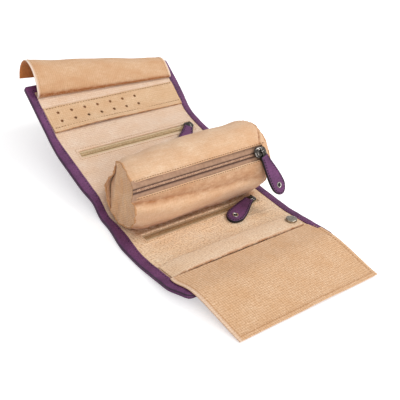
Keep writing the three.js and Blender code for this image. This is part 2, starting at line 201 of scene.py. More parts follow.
def mileage(path: Array) -> Array:
    """Length along a path from its start to each of its points."""
    return np.concatenate([[0], np.cumsum(gaps_along(path))])


def spline(points: Sequence[tuple[float, ...]], count: int) -> Array:
    """A smooth curve through points: cubic Hermite pieces with chord slopes, at even steps of length.

    Args:
        points: the points passed through.
        count: how many points come back.

    Returns:
        An array of count points.
    """
    knots = np.asarray(points, float)
    t = mileage(knots)
    slope = np.gradient(knots, t, axis=0)
    fine = np.linspace(0, t[-1], 40 * len(knots))
    k = np.clip(np.searchsorted(t, fine, side="right") - 1, 0, len(t) - 2)
    h = (t[k + 1] - t[k])[:, None]
    u = ((fine - t[k]) / (t[k + 1] - t[k]))[:, None]
    curve = (
        (2 * u**3 - 3 * u**2 + 1) * knots[k]
        + (u**3 - 2 * u**2 + u) * h * slope[k]
        + (3 * u**2 - 2 * u**3) * knots[k + 1]
        + (u**3 - u**2) * h * slope[k + 1]
    )
    return resampled(curve, count)


def resampled(path: Array, count: int) -> Array:
    """The same path at count points with even steps of length.

    Args:
        path: points in mm.
        count: how many points come back.

    Returns:
        The new points.
    """
    run = mileage(path)
    steps = np.linspace(0, run[-1], count)
    return np.stack([np.interp(steps, run, path[:, k]) for k in range(path.shape[1])], axis=1)


def bezier(corners: Sequence[tuple[float, float]], count: int) -> Array:
    """A cubic curve with four corners, the middle two of which pull it.

    Args:
        corners: the four corners in mm.
        count: how many points come back.

    Returns:
        Points from the first corner to the last.
    """
    t = np.linspace(0, 1, count)[:, None]
    a, b, c, d = np.array(corners, float)
    return (1 - t) ** 3 * a + 3 * (1 - t) ** 2 * t * b + 3 * (1 - t) * t**2 * c + t**3 * d


# Meshes


def new_object(name: str, points_mm: Array, faces: list, sharp: float = 40.0) -> Piece:
    """Writes points and faces into a new smooth-shaded object at the origin.

    Args:
        name: the piece's name.
        points_mm: points in mm.
        faces: lists of corner numbers, outward.
        sharp: edges that turn more than this many degrees stay crisp.

    Returns:
        The object, linked to the scene.
    """
    mesh = bpy.data.meshes.new(name)
    mesh.from_pydata((points_mm.reshape(-1, 3) * MM).tolist(), [], faces)
    mesh.polygons.foreach_set("use_smooth", np.ones(len(mesh.polygons), bool))
    mesh.set_sharp_from_angle(angle=math.radians(sharp))
    piece = bpy.data.objects.new(name, mesh)
    bpy.context.scene.collection.objects.link(piece)
    return piece


@dataclass
class Sheet:
    """A closed sheet on a grid: an upper and a lower surface, joined by walls round every open edge."""

    upper: Array  # points of the upper surface, rows by columns by three
    lower: Array  # points of the lower surface, on the same grid
    keep: Array | None = None  # which cells of the grid are there; all of them if None
    wrap: bool = False  # whether the last column is the first one again
    # the piece's own flat measure at every grid point, in mm, for its UV map
    flat: tuple[Array, Array] | None = None
    paint: dict[str, Array] = field(default_factory=dict)  # further numbers at every grid point, by name
    two_faced: bool = False  # whether the lower surface is marked by a number of one called reverse

    def faces(self, joined: bool) -> Array:
        """All quads: upper, lower turned over, and a wall at each edge between a kept cell and none.

        Args:
            joined: whether a wrapped sheet's last column counts as its first.

        Returns:
            Four point numbers a face, counted over the upper grid and then over the lower one.
        """
        rows, columns = self.upper.shape[:2]
        around = columns - int(joined and self.wrap)
        keep = np.ones((rows - 1, columns - 1), bool) if self.keep is None else self.keep
        under = rows * around
        at = np.arange(rows)[:, None] * around + np.arange(columns) % around
        i, j = np.nonzero(keep)
        top = np.stack([at[i, j], at[i + 1, j], at[i + 1, j + 1], at[i, j + 1]], axis=1)
        found = [top, top[:, ::-1] + under]
        tall, wide = np.pad(keep, ((1, 1), (0, 0))), np.pad(keep, ((0, 0), (1, 1)))
        here, before = (keep, np.roll(keep, 1, axis=1)) if self.wrap else (wide[:, 1:], wide[:, :-1])
        for edge, ahead, flip in (
            (tall[1:] & ~tall[:-1], True, False),
            (tall[:-1] & ~tall[1:], True, True),
            (here & ~before, False, False),
            (before & ~here, False, True),
        ):
            i, j = np.nonzero(edge)
            a, b = (at[i, j], at[i, j + 1]) if ahead else (at[i + 1, j], at[i, j])
            wall = np.stack([a, b, b + under, a + under], axis=1)
            found.append(wall[:, ::-1] if flip else wall)
        return np.concatenate(found)

    def listed(self, grid: Array) -> Array:
        """A grid's numbers point by point, without a wrapped sheet's last column."""
        kept = grid[:, :-1] if self.wrap else grid
        return kept.reshape(kept.shape[0] * kept.shape[1], -1)

    def build(self, name: str) -> Piece:
        """Makes the object, with only the points that a face uses.

        Args:
            name: the piece's name.

        Returns:
            The object.
        """
        points = np.concatenate([self.listed(self.upper), self.listed(self.lower)])
        used, faces = np.unique(self.faces(True), return_inverse=True)
        faces = faces.reshape(-1, 4)
        piece = new_object(name, points[used], faces.tolist())
        if self.flat is not None:
            flat = np.concatenate([np.stack(self.flat, -1).reshape(-1, 2)] * 2) * MM
            layer = piece.data.uv_layers.new(name="flat")
            layer.data.foreach_set("uv", flat[self.faces(False).ravel()].astype(np.float32).ravel())
        values = {title: np.concatenate([self.listed(grid)] * 2) for title, grid in self.paint.items()}
        if self.two_faced:
            values["reverse"] = np.repeat([0.0, 1.0], len(points) // 2)
        for title, numbers in values.items():
            store = piece.data.attributes.new(title, "FLOAT", "POINT")
            store.data.foreach_set("value", numbers[used].astype(np.float32).ravel())
        return piece


def scattered(name: str, points: Array, faces: list, places: Array, sharp: float = 40.0) -> Piece:
    """One mesh of many copies of a small shape: every copy is its points turned and moved by a matrix.

    Args:
        name: the piece's name.
        points: the small shape's points in mm.
        faces: its faces, all kinds.
        places: one 4 by 4 matrix per copy, in mm.
        sharp: edges that turn more than this many degrees stay crisp.

    Returns:
        The object.
    """
    moved = np.einsum("kij,aj->kai", places[:, :3, :3], points) + places[:, None, :3, 3]
    jumps = np.arange(len(places)) * len(points)
    sizes = sorted({len(face) for face in faces})
    numbered: list = []
    for size in sizes:
        group = np.array([face for face in faces if len(face) == size])
        numbered += (group[None] + jumps[:, None, None]).reshape(-1, size).tolist()
    return new_object(name, moved.reshape(-1, 3), numbered, sharp)


def circle(around: int) -> Array:
    """Angles of points spaced evenly round a circle."""
    return np.linspace(0, 2 * math.pi, around, endpoint=False)


def points_of(x: Array, y: Array, z: Array) -> Array:
    """One point a row from three coordinates that broadcast together."""
    return np.stack(np.broadcast_arrays(x, y, z), axis=-1).reshape(-1, 3)


def ring_faces(rings: int, around: int) -> list:
    """Faces of rings of points laid one after another, with a cap on the first and last ring.

    Args:
        rings: how many rings there are.
        around: points in each ring.

    Returns:
        Lists of point numbers.
    """
    i, j = crossed(np.arange(rings - 1), np.arange(around))
    a, b = i * around + j, i * around + (j + 1) % around
    sides = np.stack([a, b, b + around, a + around], axis=-1).reshape(-1, 4).tolist()
    last = (rings - 1) * around
    return sides + [list(range(around))[::-1], list(range(last, last + around))]


def frames_of(x_axis: Array, y_axis: Array, z_axis: Array, origin: Array) -> Array:
    """4 by 4 matrices whose columns are three axes and an origin, for one place or many.

    Args:
        x_axis: the first axis.
        y_axis: the second axis.
        z_axis: the third axis.
        origin: where it stands.

    Returns:
        One matrix, or one for each row of the axes.
    """
    columns = np.broadcast_arrays(*(np.asarray(v, float) for v in (x_axis, y_axis, z_axis, origin)))
    frames = np.zeros((*columns[0].shape[:-1], 4, 4))
    frames[..., :3, :] = np.stack(columns, axis=-1)
    frames[..., 3, 3] = 1
    return frames


def upright(out: Array, origin: Array) -> Array:
    """Matrices with X across the roll, Z along out and Y across both."""
    return frames_of(ACROSS, np.cross(out, ACROSS), out, origin)


def frames_along(path: Array, up: Array) -> Array:
    """Matrices along a path: X along it, Z as near to up as the path allows, Y across both.

    Args:
        path: points in mm.
        up: directions out of the cloth at each point.

    Returns:
        A 4 by 4 matrix for each point.
    """
    ahead = np.gradient(path, axis=0)
    ahead /= np.linalg.norm(ahead, axis=1, keepdims=True)
    aside = np.cross(up, ahead)
    aside /= np.linalg.norm(aside, axis=1, keepdims=True)
    return frames_of(ahead, aside, np.cross(ahead, aside), path)


def tube(frames: Array, radius: Array, around: int) -> Array:
    """Rings of points round a path: at each of its frames, a circle across the frame's X.

    Args:
        frames: 4 by 4 matrices in mm, X along the path.
        radius: radius at each point, or one for all.
        around: points in each ring.

    Returns:
        Points, ring by ring.
    """
    angle = circle(around)
    ring = np.stack([np.zeros(around), np.cos(angle), np.sin(angle)], axis=1)
    spokes = np.einsum("kij,aj->kai", frames[:, :3, :3], ring)
    return spokes * np.reshape(radius, (-1, 1, 1)) + frames[:, None, :3, 3]


def welt(name: str, path: Array, up: Array, radius: Array) -> Piece:
    """A closed round cord of cloth: a ring of eight points carried along a path that ends where it starts.

    Args:
        name: the piece's name.
        path: points in mm, the last one not repeated.
        up: directions out of the cloth at each point.
        radius: radius at each point.

    Returns:
        The object.
    """
    around = 8
    closed = (np.concatenate([rows[-1:], rows, rows[:1]]) for rows in (path, up))
    points = tube(frames_along(*closed)[1:-1], radius, around)
    here = np.arange(len(path) * around).reshape(len(path), around)
    beside = np.roll(here, -1, axis=1)
    ahead, across = np.roll(here, -1, axis=0), np.roll(beside, -1, axis=0)
    faces = np.stack([ahead, across, beside, here], axis=-1)
    return new_object(name, points, faces.reshape(-1, 4).tolist(), 70)


def rod(name: str, path: Array, up: Array, radius: float, around: int = 10) -> Piece:
    """A round rod along an open path, capped at both ends."""
    points = tube(frames_along(path, up), radius, around)
    return new_object(name, points, ring_faces(len(path), around), 50)


def lathe(profile: Profile, around: int) -> tuple[Array, list]:
    """A turned shape: each profile point, a radius and a height, carried round the Z axis.

    Args:
        profile: radius and height in mm, from the bottom middle outwards and up.
        around: points in each ring.

    Returns:
        Points and faces.
    """
    radius, height = np.asarray(profile, float).T[..., None]
    angle = circle(around)
    points = points_of(radius * np.cos(angle), radius * np.sin(angle), height)
    return points, ring_faces(len(radius), around)


def turned(name: str, profile: Profile, place: Array, around: int) -> Piece:
    """One turned piece, standing in the frame called place."""
    return scattered(name, *lathe(profile, around), place[None], 35)


def boxed(value: Array, power: float) -> Array:
    """A sine or cosine with its sign, raised to a power under one so that a round shape turns boxy."""
    return np.sign(value) * np.abs(value) ** power


def pebble(around: int = 24) -> tuple[Array, list]:
    """A boxy ball of half size one: rings whose plan and side view are both flattened ellipses.

    Args:
        around: points in each ring.

    Returns:
        Points and faces.
    """
    tilt = np.radians([-88, -70, -50, -30, -10, 10, 30, 50, 70, 88])[:, None]
    turn = circle(around)
    plan = boxed(np.cos(tilt), 0.5)
    x, y = (plan * boxed(side, 0.7) for side in (np.cos(turn), np.sin(turn)))
    return points_of(x, y, boxed(np.sin(tilt), 0.8)), ring_faces(len(tilt), around)


@dataclass(frozen=True)
class Stitching:
    """Rows of thread dashes. Each dash is a tapered rod whose ends dip into the cloth."""

    pitch: float = 4.0  # length of one stitch with its gap
    dash: float = 2.7  # length of the thread that shows
    thick: float = 0.42  # radius of the thread

    def template(self) -> tuple[Array, list]:
        """One dash along X: rings of six points whose middle line falls off with the square of X.

        Returns:
            Points and faces.
        """
        u = np.array([-1, -0.75, 0, 0.75, 1])[:, None]
        girth = self.thick * np.array([0.45, 0.9, 1, 0.9, 0.45])[:, None]
        dip = self.thick * (0.55 - 1.3 * u**2)
        angle = circle(6)
        points = points_of(u * self.dash / 2, girth * np.cos(angle), dip + girth * np.sin(angle))
        return points, ring_faces(len(u), len(angle))

    def places(self, path: Array, up: Array) -> Array:
        """Where the dashes of one row go: even steps along the path, each turned to lie on it.

        Args:
            path: points in mm.
            up: directions out of the cloth at each point.

        Returns:
            A 4 by 4 matrix for each dash.
        """
        length = gaps_along(path).sum()
        count = max(3, int(length / self.pitch))
        fine = resampled(np.concatenate([path, up], axis=1), 6 * count)
        middle = resampled(path, 2 * count + 1)[1::2]
        run = np.linspace(0, 1, len(fine))
        share = (np.arange(count) + 0.5) / count
        lift = np.stack([np.interp(share, run, fine[:, 3 + k]) for k in range(3)], axis=1)
        return frames_along(middle, lift)

    def sew(self, name: str, rows: Iterable[Row]) -> Piece:
        """Makes one piece of all rows.

        Args:
            name: the piece's name.
            rows: a path and its upward directions, both in mm, for each row.

        Returns:
            The object.
        """
        points, faces = self.template()
        places = np.concatenate([self.places(path, up) for path, up in rows])
        return scattered(name, points, faces, places, 60)


# The roll's side view


@dataclass(frozen=True)
class SideLine:
    """A line in Y and Z with a length coordinate s, and points set off from it along its normal."""

    knots: tuple[tuple[float, float], ...]  # corners of the line in mm, with s growing from the first
    soften: float = 5.0  # how far each corner is smoothed
    datum: float = 0.0  # the level in the layers at which the line runs
    step: float = 0.25  # spacing of the fine points along it

    @cached_property
    def marks(self) -> Array:
        """Length coordinate of each knot."""
        return mileage(np.array(self.knots))

    @cached_property
    def table(self) -> tuple[Array, Array, Array]:
        """Fine s, points and normals: the knots' polygon, run on at both ends, averaged under a bell.

        Returns:
            The three arrays.
        """
        knots = np.array(self.knots)
        spare = 6 * self.soften
        s = np.arange(-spare, self.marks[-1] + spare, self.step)
        inside = np.stack([np.interp(s, self.marks, knots[:, k]) for k in (0, 1)], axis=1)
        first = (knots[1] - knots[0]) / self.marks[1]
        last = (knots[-1] - knots[-2]) / (self.marks[-1] - self.marks[-2])
        inside += np.minimum(s, 0)[:, None] * first
        inside += np.maximum(s - self.marks[-1], 0)[:, None] * last
        reach = np.arange(-3 * self.soften, 3 * self.soften + self.step, self.step)
        bell = np.exp(-0.5 * (reach / self.soften) ** 2)
        bell /= bell.sum()
        line = np.stack([np.convolve(inside[:, k], bell, mode="same") for k in (0, 1)], axis=1)
        ahead = np.gradient(line, axis=0)
        ahead /= np.linalg.norm(ahead, axis=1, keepdims=True)
        return s, line, np.stack([-ahead[:, 1], ahead[:, 0]], axis=1)

    def normal(self, s: Array) -> Array:
        """Upward normal at s, as a direction in X, Y and Z.

        Args:
            s: places along, in mm.

        Returns:
            One direction for each s.
        """
        grid, _, out = self.table
        flat = np.zeros(np.shape(s))
        parts = [np.interp(s, grid, out[:, k]) for k in (0, 1)]
        return np.stack([flat, *parts], axis=-1)

    def place(self, x: Array, s: Array, level: Array) -> Array:
        """Points across the line: the line's point at s, plus its normal times level, at x.

        Args:
            x: places across, in mm.
            s: places along, in mm.
            level: heights off the line, in mm.

        Returns:
            Points in mm.
        """
        x, s, level = np.broadcast_arrays(*(np.asarray(v, float) for v in (x, s, level)))
        grid, line, out = self.table
        y, z = (np.interp(s, grid, line[:, k]) for k in (0, 1))
        ny, nz = (np.interp(s, grid, out[:, k]) for k in (0, 1))
        lift = level - self.datum
        return np.stack([x, y + ny * lift, z + nz * lift], axis=-1)

    def row(self, x: Array, s: Array, level: Array) -> Row:
        """A stitch row: its points and the normals at them."""
        x, s = np.broadcast_arrays(np.asarray(x, float), np.asarray(s, float))
        return self.place(x, s, level), self.normal(s)

    def point(self, x: float, s: float, level: float) -> Array:
        """One point in metres."""
        return self.place(x, s, level) * MM


# The roll's line at the level of its folds: near panel, flat middle, bend, middle panel and far panel
ROLL = SideLine(
    (
        (-120.34, 16.95), (-44.0, 6.9), (44.0, 6.9), (47.6, 8.5), (53.2, 12.6), (60.1, 17.9), (67.8, 21.8),
        (74.92, 23.21), (165.16, 45.71), (234.09, 86.32),
    ),
    datum=6.9,
)
# Places along the roll: its folds and far end, then the middles of the pouch and of both pocket zips
NEAR_FOLD, MID_FOLD, EAR_FOLD, FAR_END = (float(ROLL.marks[k]) for k in (1, 7, 8, 9))
POUCH_Y = 25.0
UNDER_POUCH = NEAR_FOLD + 44.0 + POUCH_Y
ZIP_TWO_S = NEAR_FOLD + 36.0
ZIP_ONE_S = MID_FOLD + 61.0
# Sizes across the roll: half its width, the border, the border's inner edge and the corners' radii
HALF = 110.0
BORDER = 10.0
INSET = HALF - BORDER
CORNER = 3.5
NEAR_CORNER = 8.0
# Pocket windows: half their length, their width and the close grid lines round them
WINDOW_HALF = 86.0
WINDOW_WIDE = 11.0
WINDOW_RIM = (0, 0.4, 1.2, 3)
# Hems of the flaps: close grid lines and the stitches, counted from the edge
HEM_LINES = (0, 0.3, 0.8, 4.4, 5.2)
HEM_STITCH = 4.8
# Where the earring strip gapes across the roll: middle and reach
GAPE_X = -30.0
GAPE_REACH = 52.0


def bowed(x: Array, s: Array) -> Array:
    """Bows the left border out, most in front of the pouch and at its outer edge, and the far right one in.

    Args:
        x: places across, in mm.
        s: places along it.

    Returns:
        The new places across.
    """
    ahead = eased(s, 0, 30)
    outer = 8.3 * ahead * (1 - eased(s, 105, 160)) + 3.0 * eased(s, 180, 215) * (1 - eased(s, 262, 305))
    inner = 5.8 * ahead * (1 - eased(s, 85, 140))
    share = np.clip((-x - INSET) / BORDER, 0, 1)
    beside = eased(-x, INSET - 10, INSET)
    drawn_in = 5.0 * hump(s, 276, 36) * eased(x, INSET - 12, HALF - 6)
    return x - inner * (1 - share) * beside - outer * share - drawn_in


def with_corners(x: Array, s: Array) -> tuple[Array, Array]:
    """Rounds the roll's corners: in each corner square both offsets shrink as a square does to a disc.

    Args:
        x: places across, in mm.
        s: places along, in mm.

    Returns:
        The new places across and along.
    """
    size = np.where(s < UNDER_POUCH, NEAR_CORNER, CORNER)
    u = np.clip((np.abs(x) - HALF + size) / size, 0, 1)
    near = np.clip((size - s) / size, 0, 1)
    far = np.clip((s - FAR_END + size) / size, 0, 1)
    v = near + far
    new_x = x - np.sign(x) * size * u * (1 - np.sqrt(1 - v * v / 2))
    new_s = s + size * (near - far) * (1 - np.sqrt(1 - u * u / 2))
    return bowed(new_x, new_s), new_s


@dataclass(frozen=True)
class Stretch:
    """A length of the roll that bends at one fold."""

    name: str  # part of the pieces' names
    start: float  # where it starts along the roll
    end: float
    fold: float  # where its fold is
    before: str  # the body before the fold
    after: str  # the body after it
    panels: tuple[str, ...]  # the panels whose frame nodes its pieces stand for
    reach: float = 7.0  # half the length over which it bends

    def bend(self, piece: Piece) -> None:
        """Bakes a finished piece's place into its mesh."""
        start, end = (tuple(ROLL.point(0, self.fold + off, 5)) for off in (-self.reach, self.reach))
        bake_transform(piece)


STRETCHES = (
    Stretch("near", 0.0, UNDER_POUCH, NEAR_FOLD, "near_panel", "centre", ("near", "centre")),
    Stretch("middle", UNDER_POUCH, ZIP_ONE_S, MID_FOLD, "centre", "mid_panel", ("mid",)),
    Stretch("far", ZIP_ONE_S, FAR_END, EAR_FOLD, "mid_panel", "ear_panel", ("ear",)),
)


# Finishes


class Shader:
    """A material's node tree, with short calls to add nodes and join them."""

    def __init__(self, name: str) -> None:
        """Starts a material with its surface shader.

        Args:
            name: the material's name.
        """
        self.material = bpy.data.materials.new(name)
        self.material.use_nodes = True
        self.tree = self.material.node_tree
        self.surface = self.tree.nodes["Principled BSDF"]

    def add(self, kind: str, inputs: dict | None = None, **settings: object) -> bpy.types.Node:
        """Adds a node.

        Args:
            kind: the node's type without its ShaderNode prefix.
            inputs: socket names to a number, a colour or another node's output.
            settings: the node's own properties.

        Returns:
            The node.
        """
        node = self.tree.nodes.new("ShaderNode" + kind)
        for key, value in settings.items():
            setattr(node, key, value)
        for key, value in (inputs or {}).items():
            self.feed(node.inputs[key], value)
        return node

    def feed(self, socket: Socket, value: object) -> None:
        """Sets a socket, or joins it if the value is another node's output.

        Args:
            socket: an input of a node.
            value: a number, a colour or another node's output.
        """
        if isinstance(value, Socket):
            self.tree.links.new(value, socket)
        else:
            socket.default_value = value

    def set(self, **inputs: object) -> None:
        """Feeds the surface shader; underscores in names stand for spaces."""
        for key, value in inputs.items():
            self.feed(self.surface.inputs[key.replace("_", " ")], value)

    def coordinates(self, lay: Lay) -> Socket:
        """Coordinates of the chosen kind."""
        return self.add("TexCoord").outputs[lay.value]

    def noise(self, where: Socket, scale: float, detail: float = 3, rough: float = 0.55) -> Socket:
        """A noise pattern's grey value, with scale in cells per metre."""
        inputs = {"Vector": where, "Scale": scale, "Detail": detail, "Roughness": rough}
        return self.add("TexNoise", inputs).outputs["Fac"]

    def ramp(self, value: Socket, low: float, high: float) -> Socket:
        """Stretches a grey value so that low becomes zero and high becomes one."""
        inputs = {"Value": value, "From Min": low, "From Max": high}
        return self.add("MapRange", inputs, clamp=True).outputs["Result"]

    def spread(self, value: Socket, low: float, high: float) -> Socket:
        """Stretches a grey value so that zero becomes low and one becomes high."""
        return self.add("MapRange", {"Value": value, "To Min": low, "To Max": high}).outputs["Result"]

    def measure(self, name: str) -> Socket:
        """The number of that name stored on a piece, zero where it has none."""
        return self.add("Attribute", attribute_name=name).outputs["Fac"]

    def mix(self, share: object, first: object, second: object) -> Socket:
        """First colour where share is zero, second where it is one.

        Args:
            share: a grey value.
            first: a colour.
            second: a colour.

        Returns:
            The mixed colour.
        """
        node = self.add("Mix", data_type="RGBA")
        for number, value in ((0, share), (6, first), (7, second)):
            self.feed(node.inputs[number], value)
        return node.outputs[2]

    def sum(self, operation: str, first: object, second: object) -> Socket:
        """Arithmetic on two grey values.

        Args:
            operation: the sum's name in Blender.
            first: the first value.
            second: the second value.

        Returns:
            The result.
        """
        node = self.add("Math", operation=operation)
        for socket, value in zip(node.inputs, (first, second)):
            self.feed(socket, value)
        return node.outputs[0]

    def times(self, first: object, second: object) -> Socket:
        """The product of two grey values."""
        return self.sum("MULTIPLY", first, second)

    def bump(self, height: Socket, depth: float, strength: float = 1.0) -> None:
        """Roughens the surface by a height pattern, with depth in metres."""
        node = self.add("Bump", {"Height": height, "Distance": depth, "Strength": strength})
        self.set(Normal=node.outputs["Normal"])


class Finish(ABC):
    """A finish that dresses pieces, with the name of a material slot."""

    slot: str

    @abstractmethod
    def material(self) -> bpy.types.Material:
        """Makes the material."""

    @cached_property
    def made(self) -> bpy.types.Material:
        """The material, made once."""
        return self.material()

    def dress(self, piece: Piece) -> Piece:
        """Puts the finish on a piece.

        Args:
            piece: a new piece or a frame node.

        Returns:
            The same piece.
        """
        piece.data.materials.clear()
        piece.data.materials.append(self.made)
        return piece

    def fit(self, piece: Piece, body: str, *nodes: str) -> Piece:
        """Dresses a piece, ties it to a body and reports it.

        Args:
            piece: a new piece.
            body: the body that it rides on.
            nodes: the frame nodes that it stands for.

        Returns:
            The same piece.
        """
        self.dress(piece)
        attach(piece, body)
        if nodes:
            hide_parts(*nodes)
        LOG.info("made %s", piece.name)
        return piece


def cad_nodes() -> dict[str, Piece]:
    """The frame's nodes by name."""
    return FRAME["nodes"]


@dataclass(frozen=True)
class Suede(Finish):
    """Short-napped suede: two tones in soft clouds, faint woven ribs, fine grain and a bloom of sheen."""

    name: str
    pale: str  # tone where the nap lies one way
    deep: str  # tone where it lies the other way
    ribs: tuple[float, float] = (0.3, 0.3)  # strength of the weave's ribs across and along the piece
    streak: float = 1.0  # how much the clouds are drawn out across the piece, one for not at all
    grit: float = 0.55  # how much the hollows darken
    specks: float = 0.0  # how strongly dark specks stand out
    fleck: str = "b8895f"  # tone of the hollows between ribs and grain
    painted_shade_tone: str = "a06234"  # tone of painted shade in creases, under overhangs and along raised edges
    bright: str = "fff0e2"  # tone of pale rims
    under: str = "c4783f"  # tone of the underside, where a piece has one of its own: partly the reverse's own tone, partly painted shade and bounced light
    slot: str = "tan_suede"

    def material(self) -> bpy.types.Material:
        """Clouds and nap choose between the tones; ribs and grain darken and raise the surface.

        Returns:
            The material.
        """
        ink = Shader(self.name)
        where = ink.coordinates(Lay.FLAT)
        drawn = ink.add("Mapping", {"Vector": where, "Scale": (self.streak, 1.0, 1.0)}).outputs[0]
        clouds = ink.ramp(ink.noise(drawn, 38, 6, 0.65), 0.36, 0.66)
        nap = ink.ramp(ink.noise(drawn, 210, 5, 0.7), 0.36, 0.68)
        grain = ink.ramp(ink.noise(where, 400, 4, 0.8), 0.36, 0.66)
        tone = ink.mix(clouds, linear(self.pale), linear(self.deep))
        tone = ink.mix(ink.times(nap, 0.55), tone, linear(self.deep))
        height = ink.times(grain, 0.6)
        weave = {"Vector": where, "Scale": 116, "Distortion": 2.6, "Detail": 3, "Detail Scale": 1.2}
        for strength, direction in zip(self.ribs, ("X", "Y")):
            wave = ink.add("TexWave", weave, bands_direction=direction)
            height = ink.sum("ADD", height, ink.times(wave.outputs["Fac"], strength))
        tone = ink.mix(ink.times(height, self.grit), tone, linear(self.fleck))
        if self.specks:
            specks = ink.ramp(ink.noise(drawn, 700, 3, 0.7), 0.5, 0.6)
            tone = ink.mix(ink.times(specks, self.specks), tone, linear(self.fleck))
        # Painted shade: a stored number darkens the nap towards the shade tone in creases, under overhangs
        # and where parts touch
        painted_shade = ink.times(ink.measure("painted_shade"), ink.sum("ADD", nap, 0.5))
        tone = ink.mix(painted_shade, tone, linear(self.painted_shade_tone))
        # Pale rims, and the underside's tone, which is partly painted shade and bounced light
        for title, other in (("pale", self.bright), ("reverse", self.under)):
            tone = ink.mix(ink.measure(title), tone, linear(other))
        ink.set(Base_Color=tone, Roughness=0.92, Specular_IOR_Level=0.2)
        ink.set(Sheen_Weight=0.2, Sheen_Roughness=0.5)
        ink.bump(height, 0.0005, 0.8)
        return ink.material


@dataclass(frozen=True)
class Leather(Finish):
    """Fine-grained matt leather, creased between its cells and rubbed darker towards its edges."""

    name: str
    tone: str
    shade: str
    edge: str  # tone of creases and edges
    lay: Lay  # how its texture is laid
    slot: str = "purple_leather"

    def material(self) -> bpy.types.Material:
        """Cells give grain and creases, clouds the mottling, and the edge measure darkens the edges.

        Returns:
            The material.
        """
        ink = Shader(self.name)
        where = ink.coordinates(self.lay)
        cells = ink.add("TexVoronoi", {"Vector": where, "Scale": 620}, feature="DISTANCE_TO_EDGE")
        grain = ink.ramp(cells.outputs["Distance"], 0.0, 0.35)
        clouds = ink.ramp(ink.noise(where, 45, 4), 0.35, 0.68)
        fine = ink.ramp(ink.noise(where, 420, 3), 0.35, 0.7)
        tone = ink.mix(clouds, linear(self.tone), linear(self.shade))
        tone = ink.mix(ink.times(fine, 0.3), tone, linear(self.shade))
        creases = ink.ramp(cells.outputs["Distance"], 0.16, 0.0)
        tone = ink.mix(ink.times(creases, 0.5), tone, linear(self.edge))
        tone = ink.mix(ink.ramp(ink.measure("edge"), 0.25, 0.9), tone, linear(self.edge))
        ink.set(Base_Color=tone, Roughness=ink.spread(fine, 0.5, 0.66), Specular_IOR_Level=0.35)
        ink.bump(ink.sum("ADD", grain, ink.times(fine, 0.6)), 0.00025, 0.5)
        return ink.material


@dataclass(frozen=True)
class Tape(Finish):
    """Woven zip tape with fine ribs across it, with painted shade along the grooves where the teeth run."""

    name: str
    tone: str
    shade: str  # tone of its ribs
    groove_shade: str  # tone of the painted shade in the grooves beside the teeth
    slot: str = "zip_tape"

    def material(self) -> bpy.types.Material:
        """Close waves make the ribs, noise breaks their colour and a stored number paints shade beside the
        teeth.

        Returns:
            The material.
        """
        ink = Shader(self.name)
        where = ink.coordinates(Lay.FRAME)
        ribs = ink.add("TexWave", {"Vector": where, "Scale": 210, "Distortion": 0.6}).outputs["Fac"]
        blur = ink.noise(where, 300, 3)
        tone = ink.mix(ink.ramp(blur, 0.3, 0.7), linear(self.tone), linear(self.shade))
        tone = ink.mix(ink.times(ribs, 0.3), tone, linear(self.shade))
        tone = ink.mix(ink.measure("groove_shade"), tone, linear(self.groove_shade))
        ink.set(Base_Color=tone, Roughness=0.85, Sheen_Weight=0.2)
        ink.bump(ribs, 0.0002, 0.6)
        return ink.material


@dataclass(frozen=True)
class Metal(Finish):
    """Plated metal, brushed and smudged, with clouds between a bright and a dark tone: smudges, and on the
    gunmetal painted glints and dark reflections.
    """

    name: str
    slot: str
    tone: str  # tone where it is bright
    shade: str
    rough: float  # roughness where it is bright

    def material(self) -> bpy.types.Material:
        """Fine clouds choose between the bright and the dark tone and set the gloss.

        Returns:
            The material.
        """
        ink = Shader(self.name)
        where = ink.coordinates(Lay.FRAME)
        clouds = ink.ramp(ink.noise(where, 520, 4), 0.35, 0.7)
        tone = ink.mix(clouds, linear(self.tone), linear(self.shade))
        gloss = ink.spread(clouds, self.rough, self.rough + 0.18)
        ink.set(Base_Color=tone, Metallic=1.0, Roughness=gloss)
        ink.bump(ink.noise(where, 1600, 2), 0.00005, 0.4)
        return ink.material


@dataclass(frozen=True)
class Thread(Finish):
    """Twisted sewing thread, also used for seams and for dark discs of painted shade in holes."""

    name: str
    tone: str  # tone of one strand
    shade: str  # tone of the other
    slot: str

    def material(self) -> bpy.types.Material:
        """Slanted waves show the twist.

        Returns:
            The material.
        """
        ink = Shader(self.name)
        where = ink.coordinates(Lay.FRAME)
        twist = ink.add("TexWave", {"Vector": where, "Scale": 420}, bands_direction="DIAGONAL").outputs["Fac"]
        ink.set(Base_Color=ink.mix(twist, linear(self.tone), linear(self.shade)), Roughness=0.75)
        ink.bump(twist, 0.0001, 0.5)
        return ink.material


# The near stretch's lining: the same suede in lighter, warmer tones, painted light for a stretch that lies
# more in shade
LINING_NEAR_PAINTED_LIGHT = Suede("lining_suede_near", "ffedd3", "fad8b0", (0.2, 0.3), 0.6, specks=0.75)
LINING = Suede("lining_suede", "fbe8d6", "f0d1b5", (0.2, 0.35), 0.6)
STRAP_SUEDE = Suede("strap_suede", "fbe6cb", "f2d3b1", (0.15, 0.35), 0.6, specks=0.5)
STRIP_SUEDE = Suede("strip_suede", "efd2af", "dfb890", (0.3, 0.3), 0.6)
POUCH_SUEDE = Suede("pouch_suede", "f0d2b2", "dcae86", (0.12, 0.18), 0.5)
